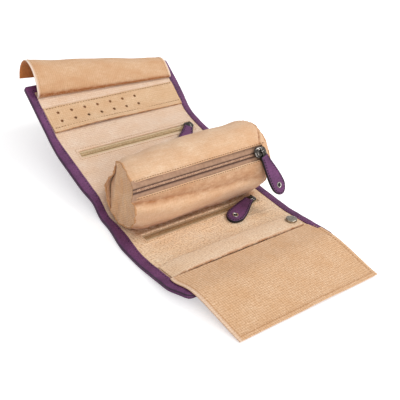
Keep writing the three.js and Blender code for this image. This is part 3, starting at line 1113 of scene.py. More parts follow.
# The pouch's left end: its suede in lighter tones, painted light for an end that faces away from the key lamp
POUCH_END_PAINTED_LIGHT = Suede("pouch_end_suede", "ffdab2", "e8b182", (0.2, 0.5))
NEAR_SUEDE = Suede("near_flap_suede", "f4d4b2", "e4ba90", (0.3, 0.3), grit=0.9)
FAR_SUEDE = Suede("far_flap_suede", "e8c8a6", "d5a57c", (0.4, 0.12), 0.6)
PURPLE = Leather("purple_leather", "7c4475", "5a2f57", "2a1528", Lay.FLAT)
PULL_LEATHER = Leather("pull_leather", "82477c", "623760", "0f080d", Lay.FRAME)
POCKET_TAPE = Tape("pocket_zip_tape", "ecd6b4", "dcc19a", "917148")
POUCH_TAPE = Tape("pouch_zip_tape", "b38e73", "98745b", "3c1c10")
POCKET_COIL = Metal("pocket_zip_coil", "zip_coil", "dfc7a2", "bfa37a", 0.55)
POUCH_COIL = Metal("pouch_zip_coil", "zip_coil", "dcb89c", "a98068", 0.45)
# Bright and dark tones set far apart, so that the clouds paint glints and dark reflections on the sliders
GUNMETAL_PAINTED_GLINTS = Metal("gunmetal", "gunmetal", "75706b", "1c1918", 0.16)
NICKEL = Metal("nickel", "nickel", "d8d4cc", "9a958c", 0.22)
PEWTER = Metal("pewter", "pewter", "bdb6a8", "6b6459", 0.26)
# Thread tones darker than the thread's own: painted shade of the stitch holes as well
TAN_THREAD_WITH_HOLE_SHADE = Thread("tan_thread", "94663c", "734a27", "tan_suede")
PALE_THREAD = Thread("pale_thread", "c89c6e", "b08354", "tan_suede")
PURPLE_THREAD = Thread("purple_thread", "1d101d", "0f080f", "purple_leather")
POUCH_SUEDE_SEAM = Thread("pouch_seam_suede", "d2a073", "b27e52", "tan_suede")
# Painted shade in the pulls' eyelet holes
EYELET_PAINTED_SHADE = Thread("eyelet_hole_back", "1a1412", "0d0a09", "nickel")
# Painted shade in the earring holes
HOLE_PAINTED_SHADE = Thread("earring_hole_back", "94633a", "744824", "tan_suede")
BORDER_STITCHES = Stitching(4.0, 2.6, 0.4)
WINDOW_STITCHES = Stitching(3.4, 2.4, 0.36)
PULL_STITCHES = Stitching(3.4, 2.2, 0.62)
POUCH_STITCHES = Stitching(3.4, 2.6, 0.4)
HEM_STITCHES = Stitching(3.4, 2.4, 0.34)


# Sub-assemblies


@dataclass
class Shell:
    """The leather outside with its turned border."""

    thick: float = 4.6  # thickness of leather and stiffener together at the border
    sunk: float = 2.2  # how much thinner they are under the lining
    lip_low: float = 4.7  # level of the border's underside
    lip_high: float = 6.7  # level of its top
    edge_round: float = 2.2  # radius of the rounded outer edge
    stitch_inset: float = 2.4  # how far outside the border's inner edge its stitches run

    def edges(self, x: Array, s: Array) -> Array:
        """Distance from the roll's outline, in mm."""
        return np.minimum(HALF - np.abs(x), np.minimum(s, FAR_END - s))

    def end_lines(self, stretch: Stretch) -> list[float]:
        """Extra grid lines where a stretch has one of the roll's ends.

        Args:
            stretch: the stretch of the roll.

        Returns:
            Places along the roll.
        """
        near = [0.3, 0.9, 2.2, CORNER, 6.0, BORDER - 1.2, BORDER - 0.4, BORDER]
        if stretch.start == 0:
            return near
        return [FAR_END - v for v in near] if stretch.end == FAR_END else []

    def grid(self, stretch: Stretch, insets: Sequence[float], gaps: tuple[float, float]) -> Sequence[Array]:
        """Places across and along a stretch, with close lines at those insets and at the roll's ends."""
        ss = lines(stretch.start, stretch.end, *self.end_lines(stretch), stretch.fold, gap=gaps[1])
        return crossed(lines(*paired(*(HALF - v for v in insets)), gap=gaps[0]), ss)

    def outside(self, stretch: Stretch) -> Piece:
        """The outer leather of one stretch: a slab whose edge is a half round.

        Args:
            stretch: the stretch of the roll.

        Returns:
            The object.
        """
        x, s = self.grid(stretch, (0, 0.3, 0.9, 2.2, CORNER, 6.0, 8.0), (6, 3))
        off = self.edges(x, s)
        edge = rounded(off, self.edge_round)
        middle = self.thick / 2
        wave = ripple(x, s, ((0.18, 70, 160, 0.4), (0.12, 41, -90, 2.0)))
        under = self.sunk * eased(off, 3, 8)
        new_x, new_s = with_corners(x, s)
        upper = ROLL.place(new_x, new_s, middle + edge * middle - under)
        lower = ROLL.place(new_x, new_s, middle - edge * middle + np.maximum(wave, 0) * edge)
        paint = {"edge": 0.6 * (1 - rounded(off, 2.6))}
        return Sheet(upper, lower, flat=(x, s), paint=paint).build(f"shell_{stretch.name}")

    def inner_edge(self, x: Array, s: Array) -> Array:
        """Distance outwards from the border's inner edge, negative on the lining's side."""
        ends = np.maximum(BORDER - s, s - (FAR_END - BORDER))
        return np.maximum(np.abs(x) - INSET, ends)

    def border(self, stretch: Stretch) -> Piece:
        """The turned border of one stretch: a band with a rounded inner edge and a rolled outer edge.

        Args:
            stretch: the stretch of the roll.

        Returns:
            The object.
        """
        x, s = self.grid(stretch, (0, 0.3, 0.9, 2.2, 4, 6, 8, 8.8, 9.6, BORDER), (8, 2.5))
        off, inner = self.edges(x, s), self.inner_edge(x, s)
        edge = np.minimum(rounded(off, 1.8), rounded(inner + 0.02, 1.1))
        wave = ripple(x, s, ((0.16, 300, 23, 0.6), (0.1, 300, 11, 1.9)))
        high = self.lip_low + (self.lip_high - self.lip_low + wave) * (0.35 + 0.65 * edge)
        keep = self.inner_edge(*cell_middles(x, s)) > 0
        new_x, new_s = with_corners(x, s)
        upper = ROLL.place(new_x, new_s, high)
        lower = ROLL.place(new_x, new_s, np.full_like(x, self.lip_low - 0.4))
        dark = np.maximum(1 - rounded(off, 1.7), 0.75 * (1 - rounded(inner + 0.05, 0.9)))
        return Sheet(upper, lower, keep, flat=(x, s), paint={"edge": dark}).build(f"border_{stretch.name}")

    def rows(self, stretch: Stretch) -> list[Row]:
        """Stitch rows along both sides of a stretch, and across it at either end of the roll.

        Args:
            stretch: the stretch of the roll.

        Returns:
            Points and outward directions of each row.
        """
        at_start, at_end = stretch.start == 0, stretch.end == FAR_END
        first = BORDER - self.stitch_inset if at_start else stretch.start
        last = FAR_END - BORDER + self.stitch_inset if at_end else stretch.end
        at, top = INSET + self.stitch_inset, self.lip_high - 0.1
        s, x = np.linspace(first, last, 200), np.linspace(-at, at, 200)
        rows = [ROLL.row(bowed(side.value * at, s), s, top) for side in Side]
        return rows + [ROLL.row(x, end, top) for end, here in ((first, at_start), (last, at_end)) if here]

    def build(self) -> None:
        """Makes and dresses every stretch and hides the frame nodes that it stands for."""
        for stretch in STRETCHES:
            thread = BORDER_STITCHES.sew(f"border_stitches_{stretch.name}", self.rows(stretch))
            shell, border = self.outside(stretch), self.border(stretch)
            for piece, finish in ((shell, PURPLE), (border, PURPLE), (thread, PURPLE_THREAD)):
                finish.dress(piece)
                stretch.bend(piece)
                LOG.info("made %s", piece.name)
            for panel in stretch.panels:
                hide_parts(f"{panel}_shell", f"{panel}_interlining")
                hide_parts(f"{panel}_border_left", f"{panel}_border_right")
        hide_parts("near_border_end")
        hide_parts("ear_border_end")


@dataclass
class Lining:
    """The suede inside, cut through by the two pocket windows."""

    low: float = 4.0  # level of its underside
    high: float = 5.3  # level of its top
    lip: float = 0.7  # how far the window's turned edge stands up
    tuck: float = 4.0  # how far inside the roll's outline it ends, under the border
    stitch_off: float = 3.2  # how far outside a window its stitches run

    def window(self, x: Array, s: Array) -> Array:
        """Distance outside the nearer window, negative in it: the larger of the two overhangs.

        Args:
            x: places across, in mm.
            s: places along, in mm.

        Returns:
            The distance, in mm.
        """
        off_one, off_two = (
            np.maximum(np.abs(x) - WINDOW_HALF, np.abs(s - middle) - WINDOW_WIDE / 2)
            for middle in (ZIP_ONE_S, ZIP_TWO_S)
        )
        return np.minimum(off_one, off_two)

    def swell(self, x: Array, s: Array) -> Array:
        """How far the lining stands off: loose ripples, deeper in front of the pouch, none at the border.

        Args:
            x: places across, in mm.
            s: places along, in mm.

        Returns:
            The height, in mm.
        """
        free = eased(INSET - np.abs(x), 0, 14)
        loose = hump(s, NEAR_FOLD + 12, 20)
        fine = ripple(x, s, ((0.22, 400, 4.6, 0.3), (0.16, -230, 7.1, 1.2)))
        broad = ripple(x, s, ((0.35, 150, 46, 0.2), (0.3, -95, 61, 1.4), (0.2, 57, 140, 0.7)))
        strip = eased(s, EAR_FOLD + 2, EAR_FOLD + 8)
        buckle = 2.0 * hump(s, EAR_FOLD + 3, 16) * hump(x, GAPE_X, GAPE_REACH)
        buckle = buckle * (1 - eased(s, EAR_FOLD + 6, EAR_FOLD + 12))
        return free * ((1 - strip) * (broad + loose * fine) + buckle)

    def span(self, stretch: Stretch) -> tuple[float, float]:
        """Where the lining of a stretch starts and ends."""
        return max(stretch.start, self.tuck), min(stretch.end, FAR_END - self.tuck)

    def sheet(self, stretch: Stretch) -> Piece:
        """The lining of one stretch, with the windows left out of its grid.

        Args:
            stretch: the stretch of the roll.

        Returns:
            The object.
        """
        xs = lines(*paired(HALF - self.tuck, *(WINDOW_HALF + v for v in WINDOW_RIM)), gap=3.5)
        rims = paired(*(WINDOW_WIDE / 2 + v for v in WINDOW_RIM))
        cuts = [middle + rim for middle in (ZIP_ONE_S, ZIP_TWO_S) for rim in rims]
        inside = [v for v in cuts if stretch.start < v < stretch.end]
        ss = lines(*self.span(stretch), *inside, gap=1.4 if stretch.name == "near" else 2.2)
        x, s = crossed(xs, ss)
        off = self.window(x, s)
        rim = rounded(off + 0.02, 1.0)
        level = self.high + self.swell(x, s) * eased(off, 0, 8) + self.lip * hump(off, 1.6, 1.6)
        upper = ROLL.place(bowed(x, s), s, self.low + (level - self.low) * (0.45 + 0.55 * rim))
        lower = ROLL.place(bowed(x, s), s, np.full_like(x, self.low))
        keep = self.window(*cell_middles(x, s)) > 0
        # Painted shade on the lining under the pouch and just in front of it, where the pouch rests
        pouch_contact_shade = eased(s - UNDER_POUCH, -31, -20) * (1 - eased(s - UNDER_POUCH, 20, 31))
        paint = {"painted_shade": 0.7 * pouch_contact_shade * (1 - eased(np.abs(x), 88, 96))}
        return Sheet(upper, lower, keep, flat=(x, s), paint=paint).build(f"lining_{stretch.name}")

    def frame_rows(self, middle: float) -> list[Row]:
        """Stitch rows in a rectangle round one window.

        Args:
            middle: where the window's middle runs along the roll, in mm.

        Returns:
            Points and outward directions of each row.
        """
        w, h = WINDOW_HALF + self.stitch_off, WINDOW_WIDE / 2 + self.stitch_off
        x, s = np.linspace(-w, w, 200), np.linspace(middle - h, middle + h, 40)
        top = self.high + 0.35
        rows = []
        for side in Side:
            rows += [ROLL.row(x, middle + side.value * h, top), ROLL.row(side.value * w, s, top)]
        return rows

    def build(self) -> None:
        """Makes and dresses every stretch and the window stitches."""
        for stretch in STRETCHES:
            finish = LINING_NEAR_PAINTED_LIGHT if stretch.name == "near" else LINING
            piece = finish.dress(self.sheet(stretch))
            stretch.bend(piece)
            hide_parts(*(f"{panel}_lining" for panel in stretch.panels))
            start, end = self.span(stretch)
            LOG.info("made %s", piece.name)
        for name, middle, body, lining in (
            ("one", ZIP_ONE_S, "mid_panel", "lining_middle"),
            ("two", ZIP_TWO_S, "centre", "lining_near"),
        ):
            PALE_THREAD.fit(WINDOW_STITCHES.sew(f"window_stitches_{name}", self.frame_rows(middle)), body)
            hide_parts(f"pocket_{name}_bag")


def tooth() -> tuple[Array, list]:
    """One zip tooth: a bar across the zip with a narrower, rounded head, along Y.

    Returns:
        Points and faces.
    """
    half = np.array([0.8, 0.95, 0.95, 0.65])[:, None]
    reach = np.array([-1.5, -0.9, 0.6, 1.3])[:, None]
    tall = np.array([0.5, 0.62, 0.62, 0.42])[:, None]
    angle = circle(6) + math.pi / 6
    points = points_of(half * np.cos(angle), reach, tall * np.sin(angle) + 0.5)
    return points, [face[::-1] for face in ring_faces(len(half), len(angle))]


def teeth_places(path: Array, up: Array, pitch: float, spread: tuple[float, float], size: float) -> Array:
    """Places of two rows of teeth that point at each other and fall between each other.

    Args:
        path: middle line of the zip, in mm.
        up: directions out of it.
        pitch: step from one tooth to the next of the other row.
        spread: how far each row is off the middle at the line's start, and from a third of it on.
        size: scale of a tooth.

    Returns:
        A 4 by 4 matrix for each tooth.
    """
    count = int(gaps_along(path).sum() / pitch)
    frames = frames_along(resampled(path, count), resampled(up, count))
    off = spread[0] + (spread[1] - spread[0]) * eased(np.linspace(0, 1, count), 0, 0.35)
    side = np.where(np.arange(count) % 2 == 0, 1.0, -1.0)
    frames[:, :3, 3] -= frames[:, :3, 1] * (off * side)[:, None]
    frames[:, :3, 0] *= (size * side)[:, None]
    frames[:, :3, 1] *= (size * side)[:, None]
    frames[:, :3, 2] *= size
    return frames


@dataclass
class PocketZip:
    """The zip behind a pocket window: tape and teeth."""

    name: str  # the zip's name in the frame
    middle: float  # where it runs along the roll
    body: str  # the body that carries it
    rests_on: list[str]  # the pieces that its tape lies on
    tape_low: float = 3.3  # level of the tape's underside
    tape_half: float = 12.0  # half the tape's width
    tape_over: float = 6.0  # how far the tape runs on past the window

    def tape(self) -> Piece:
        """The tape: a strip that rises to the teeth along its middle.

        Returns:
            The object.
        """
        xs = lines(*paired(WINDOW_HALF + self.tape_over), gap=4)
        ridge = (1.4, 1.9, 2.3, 2.7, 3.2, 4.4, 5.0, 5.6, 6.2, self.tape_half)
        x, v = crossed(xs, lines(*paired(*ridge), gap=2))
        low = self.tape_low + 0.5 * hump(v, 0, 2.5)
        upper, lower = (ROLL.place(x, self.middle + v, level) for level in (low + 0.7, low))
        # Painted shade in the grooves beside the teeth and under the window's lips
        paint = {"groove_shade": np.maximum(hump(np.abs(v), 2.3, 0.7), 0.7 * hump(np.abs(v), 5.4, 0.9))}
        return Sheet(upper, lower, paint=paint).build(f"{self.name}_tape_weave")

    def build(self) -> None:
        """Makes and dresses the tape and the teeth."""
        tape = POCKET_TAPE.fit(self.tape(), self.body, f"{self.name}_tape")
        x = np.linspace(-WINDOW_HALF + 1, WINDOW_HALF - 1, 100)
        places = teeth_places(*ROLL.row(x, self.middle, 4.4), 1.1, (0.8, 0.8), 0.8)
        POCKET_COIL.fit(scattered(f"{self.name}_teeth", *tooth(), places), self.body, f"{self.name}_coil")


@dataclass
class ZipPull:
    """A slider with its leather pull."""

    name: str  # the zip's name in the frame
    bar: tuple[float, float, float]  # middle of the slider's bar
    lead: tuple[float, float, float]  # direction in which the pull leads
    out: tuple[float, float, float]  # direction out of the zip's surface
    hang: float  # how far the pull turns down from lead, in degrees
    bulk: float = 1.0  # how much larger than usual the slider is
    start: float = 5.2  # where the pull starts, counted from the bar
    length: float = 54.3
    wide: float = 11.5  # half its greatest width
    neck: float = 6.4  # half the width of its neck
    thick: float = 3.4
    top: float = 0.55  # how far its top stands above the bar
    eyelet_at: float = 47.0  # how far along the pull its eyelet is
    stitch_inset: float = 2.6  # how far inside the pull's edge its stitches run

    def place(self) -> Array:
        """The pull's own frame: X along it, Y along the hinge, Z out of it.

        Returns:
            A 4 by 4 matrix in mm.
        """
        d, n = np.array(self.lead), np.array(self.out)
        turn = math.radians(self.hang)
        ahead = d * math.cos(turn) - n * math.sin(turn)
        return frames_of(ahead, np.cross(n, d), d * math.sin(turn) + n * math.cos(turn), self.bar)

    def carried(self, points: Array) -> Array:
        """Points of the pull's own frame, in the roll's."""
        place = self.place()
        return points @ place[:3, :3].T + place[:3, 3]

    def outline(self, count: int) -> tuple[Array, Array]:
        """Half width along the pull: a neck that swells to a round end.

        Args:
            count: how many stations.

        Returns:
            Distance along the pull and half width there.
        """
        end = self.start + self.length
        belly = end - 15
        turn, neck, wide = self.start + 2.6, self.neck, self.wide
        corners = (
            ((self.start, neck - 2.2), (self.start, neck - 0.6), (self.start + 1.2, neck), (turn, neck)),
            ((turn, neck), (self.start + 9, neck), (belly - 14, wide), (belly, wide)),
            ((belly, wide), (end - 6, wide), (end, 0.45 * wide), (end, 0)),
        )
        first, *others = (bezier(four, 60) for four in corners)
        even = resampled(np.concatenate([first, *(curve[1:] for curve in others)]), count)
        return even[:, 0], even[:, 1]

    def leather(self) -> Piece:
        """The pull: a padded teardrop, its faces crowned and its edge half round.

        Returns:
            The object.
        """
        x, half = self.outline(52)
        rim = np.array([0.74, 0.8, 0.86, 0.91, 0.95, 0.98, 1])
        v = np.concatenate([-rim[::-1], np.linspace(-0.6, 0.6, 7), rim])
        along = np.broadcast_to(x[:, None], (len(x), len(v)))
        aside = np.maximum(half, 0.05)[:, None] * v
        off_end = np.minimum(x - self.start, x[-1] - x)[:, None]
        gap = np.minimum(half[:, None] * (1 - np.abs(v)), off_end)
        edge = rounded(gap, 1.1)
        middle = self.top - self.thick / 2
        rise = 0.5 * self.thick * edge + 0.25 * eased(gap, 0.5, 4)
        grain = ripple(along, aside, ((0.06, 9, 13, 0), (0.05, -6, 17, 1)))
        upper = self.carried(np.stack([along, aside, middle + rise + grain * edge], -1))
        lower = self.carried(np.stack([along, aside, middle - 0.5 * self.thick * edge], -1))
        paint = {"edge": 1 - eased(gap, 0.5, 1.8)}
        return Sheet(upper, lower, paint=paint).build(f"{self.name}_pull_leather")

    def stitches(self) -> Piece:
        """A row of stitches inside the pull's edge, down one side and back along the other.

        Returns:
            The object.
        """
        x, half = self.outline(80)
        inner = half - self.stitch_inset
        keep = (inner > 1.2) & (x > self.start + 2) & (x < x[-1] - self.stitch_inset)
        side = np.stack([x[keep], inner[keep]], 1)
        loop = np.concatenate([side, side[::-1] * [1, -1]])
        path = self.carried(np.concatenate([loop, np.full((len(loop), 1), self.top + 0.2)], 1))
        up = np.broadcast_to(self.place()[:3, 2], path.shape)
        return PULL_STITCHES.sew(f"{self.name}_pull_stitches", [(path, up)])

    def eyelet_place(self) -> Array:
        """The eyelet's frame, in the pull's top.

        Returns:
            A 4 by 4 matrix in mm.
        """
        place = self.place()
        place[:3, 3] += place[:3, :3] @ np.array([self.eyelet_at, 0.0, self.top])
        return place

    def eyelet(self) -> Piece:
        """The eyelet near the pull's end: a rolled metal ring with a sunk middle.

        Returns:
            The object.
        """
        low = -self.thick - 0.6
        profile = (
            (2.2, low), (2.9, low), (3.3, low + 0.3), (2.6, low + 0.7), (2.4, -0.5), (2.8, 0.1), (3.5, 0.2),
            (3.8, 0.5), (3.6, 0.85), (3.1, 0.95), (2.6, 0.8), (2.25, 0.4), (2.1, -0.3), (2.0, low + 0.2),
        )
        return turned(f"{self.name}_pull_eyelet", profile, self.eyelet_place(), 28)

    def eyelet_shade_disc(self) -> Piece:
        """Painted shade in the eyelet's hole: a thin dark disc."""
        profile = ((0.3, 0.1), (2.15, 0.1), (2.2, 0.25), (2.1, 0.4), (0.3, 0.4))
        return turned(f"{self.name}_pull_eyelet_back", profile, self.eyelet_place(), 20)

    def slider(self) -> Piece:
        """The slider: a boxy plate and a smaller dome on it, along the zip.

        Returns:
            The object.
        """
        out = np.array(self.out)
        places = np.stack([upright(out, np.array(self.bar) + out * height) for height in (-3.9, -2.5)])
        for place, size in zip(places, ((7.2, 5.4, 1.9), (5.0, 3.8, 1.5))):
            place[:3, :3] *= np.array(size) * (self.bulk, self.bulk, 1.0)
        return scattered(f"{self.name}_slider_plate", *pebble(), places, 60)

    def bridge(self) -> Piece:
        """The bridge over the slider: a rod arched in the pull's direction, through the link's eye.

        Returns:
            The object.
        """
        half = ((-4.4, -4.2), (-4.1, -2.4), (-3.2, -0.8), (-1.7, -0.1))
        line = spline((*half, (0, 0), *((-ahead, rise) for ahead, rise in half[::-1])), 24)
        path = np.array(self.bar) + line[:, :1] * np.array(self.lead) + line[:, 1:] * np.array(self.out)
        side = np.cross(self.out, self.lead)
        return rod(f"{self.name}_slider_bridge", path, np.broadcast_to(side, path.shape), 0.95)

    def build(self) -> None:
        """Makes and dresses the slider and the pull; the link keeps its frame node."""
        tab, runner = f"{self.name}_tab", f"{self.name}_runner"
        PULL_LEATHER.fit(self.leather(), tab, f"{self.name}_pull")
        PURPLE_THREAD.fit(self.stitches(), tab)
        NICKEL.fit(self.eyelet(), tab, f"{self.name}_pull_rivet")
        EYELET_PAINTED_SHADE.fit(self.eyelet_shade_disc(), tab)
        GUNMETAL_PAINTED_GLINTS.fit(self.slider(), runner, f"{self.name}_slider")
        GUNMETAL_PAINTED_GLINTS.fit(self.bridge(), runner)
        GUNMETAL_PAINTED_GLINTS.dress(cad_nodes()[f"{self.name}_pull_link"])


@dataclass
class Pouch:
    """The round zipped pouch: body, ends, zip."""

    left: float = -99.0
    right: float = 91.0  # place of its right seam
    radius: float = 42.8
    axis_z: float = 48.2
    skew: float = 8.0  # how far the left end is drawn out beside the zip
    dome: float = 8.0  # how far the right end stands out past its seam
    wall: float = 1.4
    slot: float = 11.4  # half the width of the zip's slot, in degrees
    zip_left: float = -103.0
    zip_right: float = 82.0
    zip_turn: float = 40.4  # how far above level the zip lies, in degrees
    zip_aside: float = 1.0  # how far the teeth run below the tape's middle, in degrees
    sag: float = 3.6  # how far its front hangs out below
    fold_deep: float = 5.0  # depth of the fold under the zip
    nip_deep: float = 1.5  # depth of the crease above the slider
    nip_x: float = 77.5  # where that crease starts at the zip
    nip_slope: float = 0.42  # how far it runs right for each degree that it climbs

    @property
    def slot_left(self) -> float:
        """Left end of the slot in the cloth."""
        return self.zip_left + 8

    def end_x(self, side: Side) -> float:
        """Place of one end across the roll."""
        return self.left if side is Side.LEFT else self.right

    def directions(self, angle: Array) -> Array:
        """Outward directions round the axis; the angle, in degrees, grows from the zip to the front."""
        turn = np.radians(180 - self.zip_turn) + np.radians(angle)
        return np.stack([np.zeros_like(turn), np.cos(turn), np.sin(turn)], axis=-1)

    def drawn_out(self, x: Array, angle: Array, share: Array) -> Array:
        """How far the left end moves left: out beside and below the zip, in at the back, puckered.

        Args:
            x: places across, in mm.
            angle: degrees round from the zip.
            share: distance from the axis over the pouch's radius.

        Returns:
            The distance, in mm.
        """
        toward_zip = np.maximum(np.cos(np.radians(angle)), 0) ** 2
        shift = self.skew * toward_zip + 5.0 * hump(angle, 42, 32) - 8.0 * hump(angle, -112, 36)
        beside = np.exp(-np.maximum(x - self.left, 0) / 7)
        lumps = ((0.5, 41, 1e6, 0.4), (0.5, 26, 1e6, 1.0), (0.35, 15.5, 1e6, 0.0), (0.2, 9.5, 1e6, 2.0))
        pucker = ripple(angle, x, lumps) + 6.0 * hump(angle, 16, 7)
        return (shift * np.maximum(x / self.left, 0) ** 4 + pucker * beside) * share**2

    def collapse(self, x: Array, angle: Array) -> Array:
        """How far the left end has sunk in: flat at the back and slack at the front.

        Args:
            x: places across, in mm.
            angle: degrees round from the zip.

        Returns:
            The depth, in mm.
        """
        near = np.exp(-(((x - self.left) / 26) ** 2))
        back = 12.0 * hump(angle, -114, 26) + 3.0 * hump(angle, -165, 25) + 3.0 * hump(angle, 180, 25)
        return near * (back + 4.0 * hump(angle, 66, 26))

    def fold(self, x: Array) -> Array:
        """Angle of the fold under the zip: close below it at the left, falling fast at first, then slowly."""
        along = np.maximum(x - self.left, 0)
        return 20 + 8 * (1 - np.exp(-along / 30)) + 0.085 * along

    def groove(self, x: Array, angle: Array) -> Array:
        """Depth of the fold, one at most: a slope down from the zip to the fold, then a quick rise.

        Args:
            x: places across, in mm.
            angle: degrees round from the zip.

        Returns:
            The share of the full depth.
        """
        off = angle - self.fold(x)
        down = eased(angle - self.slot - 0.5, 0, 1) * np.clip(1 + off / (self.fold(x) - self.slot), 0, 1)
        shape = np.where(off < 0, down**1.4, 1 - eased(off, 0, 11))
        return shape * (1 - 0.55 * eased(x, -55, 25)) * eased(self.right - x, 4, 40)

    def nip(self, x: Array, angle: Array) -> Array:
        """Depth of the crease that climbs from the slider to the right seam, one at most.

        Args:
            x: places across, in mm.
            angle: degrees round from the zip.

        Returns:
            The share of the full depth.
        """
        above = -angle - self.slot
        along = hump(x - self.nip_slope * above, self.nip_x, 1.5)
        return along * eased(above, -1, 2) * (1 - eased(above, 22, 31))

    def girth(self, x: Array, angle: Array) -> Array:
        """Radius at a point: drawn in at the ends, sunk at the left, full at the upper right, sagging.

        Args:
            x: places across, in mm.
            angle: degrees round from the zip.

        Returns:
            The radius, in mm.
        """
        off_left, off_right = x - self.left, self.right - x
        off_end = np.minimum(off_left, off_right)
        gather = ripple(angle, x, ((0.3, 31, 1e6, 0.3), (0.2, 19, 1e6, 1.7))) * np.exp(-off_left / 9)
        dents = ripple(x, angle * 0.75, ((0.45, 120, 90, 0.5), (0.35, -70, 120, 1.1), (0.25, 43, 61, 2.2)))
        creases = ripple(x, angle * 0.75, ((0.16, 23, 57, 0.2), (0.12, -17, 41, 1.3))) * hump(angle, 42, 26)
        off_fold = angle - self.fold(x)
        roll = 1.6 * hump(off_fold, 17, 10) * (1 - 0.5 * eased(x, -40, 40))
        full = 4.6 * hump(angle, -62, 46) * eased(x, -70, 20) + 1.6 * hump(angle, -40, 50) * hump(x, 88, 26)
        zip_lip = 0.9 * hump(np.abs(angle), self.slot + 1.8, 1.8)
        draw = 2.4 * np.exp(-((off_left / 7) ** 2)) + 2.2 * np.exp(-((off_right / 6) ** 2))
        pull_room = 1.8 * hump(angle, 72, 26) * hump(x, 50, 36)
        sunk = draw + self.fold_deep * self.groove(x, angle) + self.collapse(x, angle)
        sunk = sunk + pull_room + self.nip_deep * self.nip(x, angle)
        sag = self.sag * hump(angle, 105, 17)
        loose = (dents + creases + roll + sag) * eased(off_end, 0, 20)
        return self.radius - 0.6 - sunk + gather + loose + zip_lip + full

    def wrap(self, x: Array, angle: Array, radius: Array) -> Array:
        """Points on the pouch: axis plus direction times radius, flattened where it lies on the lining.

        Args:
            x: places across, in mm.
            angle: degrees round from the zip.
            radius: distance from the axis, in mm.

        Returns:
            Points in mm.
        """
        moved = x - self.drawn_out(x, angle, radius / self.radius)
        points = self.directions(angle) * radius[..., None]
        points += np.stack([moved, np.full_like(x, POUCH_Y), np.full_like(x, self.axis_z)], -1)
        points[..., 2] = np.maximum(points[..., 2], 5.75 + 0.04 * (self.radius - radius))
        return points

    def body(self) -> Piece:
        """The tube with its zip slot left out of the grid.

        Returns:
            The object.
        """
        ends = [self.left + v for v in (0, 0.8, 2)] + [self.right - v for v in (0, 0.8, 2)]
        beside_nip = np.arange(74, 90, 0.8)
        xs = lines(*ends, *beside_nip, self.slot_left, self.zip_right, gap=2.5)
        lips = (self.slot + v for v in (0, 0.6, 1.4, 2.4, 3.6))
        x, angle = crossed(xs, lines(*paired(180, *lips), gap=2)[::-1])
        outer = self.girth(x, angle)
        edge = rounded(np.minimum(x - self.left, self.right - x), 1.6)
        rim = rounded(np.abs(np.abs(angle) - self.slot) + 0.02, 0.9)
        inner = outer - self.wall * (0.3 + 0.7 * edge)
        outer = outer - 1.2 * (1 - edge) - 0.4 * (1 - rim) * (np.abs(angle) < self.slot + 2)
        mid_x, mid_a = cell_middles(x, angle)
        keep = ~((np.abs(mid_a) < self.slot) & (mid_x > self.slot_left) & (mid_x < self.zip_right))
        upper, lower = self.wrap(x, angle, outer), self.wrap(x, angle, inner)
        flat = (x, np.radians(angle) * self.radius)
        # Painted shade: on the underside, in the band below the zip's lower lip, in the fold under the zip
        # and in the crease by the slider
        below = eased(angle, 66, 102) * (1 - eased(angle, 150, 175))
        lip_shade = eased(angle, self.slot + 1, self.slot + 6) * (1 - eased(angle - self.fold(x), 0, 9))
        painted_shade = 0.3 * self.groove(x, angle) + 0.3 * lip_shade + 0.9 * below + 0.7 * self.nip(x, angle)
        return Sheet(upper, lower, keep, True, flat, {"painted_shade": np.clip(painted_shade, 0, 1)}).build("pouch_cloth")

    def end(self, side: Side) -> Piece:
        """An end: a square grid bent to a disc; the right one domed, the left one folded behind a crease.

        Args:
            side: which end.

        Returns:
            The object.
        """
        x_end = self.end_x(side)
        u = np.linspace(-1, 1, 61)
        a, b = crossed(u if side is Side.LEFT else u[::-1], u)
        p, q = a * np.sqrt(1 - b * b / 2), b * np.sqrt(1 - a * a / 2)
        share = np.hypot(p, q)
        angle = np.degrees(np.arctan2(q, p))
        rim = self.girth(np.full_like(share, x_end - side.value * 1.2), angle) - 1.0
        out = self.directions(angle) * (share * rim)[..., None]
        y, z = out[..., 1], out[..., 2]
        inner = 1 - share**2
        if side is Side.LEFT:
            push = 1.2 * inner + 0.45 * np.maximum(y - 17, 0) * eased(y, 15, 22) - 0.9 * hump(y, 16, 3)
            creases = ((1.0, 17, 120, 0.3), (0.8, 9, -90, 1.2), (0.5, -21, 14, 0.5))
            push = push + 0.5 * inner * ripple(y, z, creases)
        else:
            push = 0.4 * inner * ripple(y, z, ((1.0, 19, 70, 0.3), (0.7, 13, -50, 1.2)))
            push = push - self.dome * inner**0.6
        x = x_end - side.value * (0.4 + push)
        upper = self.wrap(x, angle, share * rim)
        lower = self.wrap(x - side.value * 1.0, angle, share * (rim - 0.3))
        flat = (p * self.radius, q * self.radius)
        return Sheet(upper, lower, flat=flat).build(f"pouch_end_cloth_{side.name.lower()}")

    def seam(self, side: Side) -> Piece:
        """The sewn seam round an end: a thin welt that swells and thins along the rim.

        Args:
            side: which end.

        Returns:
            The object.
        """
        angle = np.linspace(-180, 180, 180, endpoint=False)
        x = np.full_like(angle, self.end_x(side) - side.value * 0.5)
        path = self.wrap(x, angle, self.girth(x, angle) - 0.8)
        radius = 1.0 + 0.3 * np.sin(np.radians(13 * angle)) + 0.2 * np.sin(np.radians(37 * angle))
        return welt(f"pouch_seam_{side.name.lower()}", path, self.directions(angle), radius)

    def tape(self) -> Piece:
        """The zip tape: a strip of the tube's own curve, rising a little to the teeth.

        Returns:
            The object.
        """
        xs = lines(self.zip_left + 4, self.zip_right + 4, gap=4)
        x, angle = crossed(xs, lines(-15.0, *np.arange(-4.0, 7.0, 0.5), 15.0, gap=2)[::-1])
        radius = 40.9 + 0.5 * hump(angle, 0, 5)
        upper, lower = self.wrap(x, angle, radius), self.wrap(x, angle, radius - 0.7)
        aside = angle - self.zip_aside
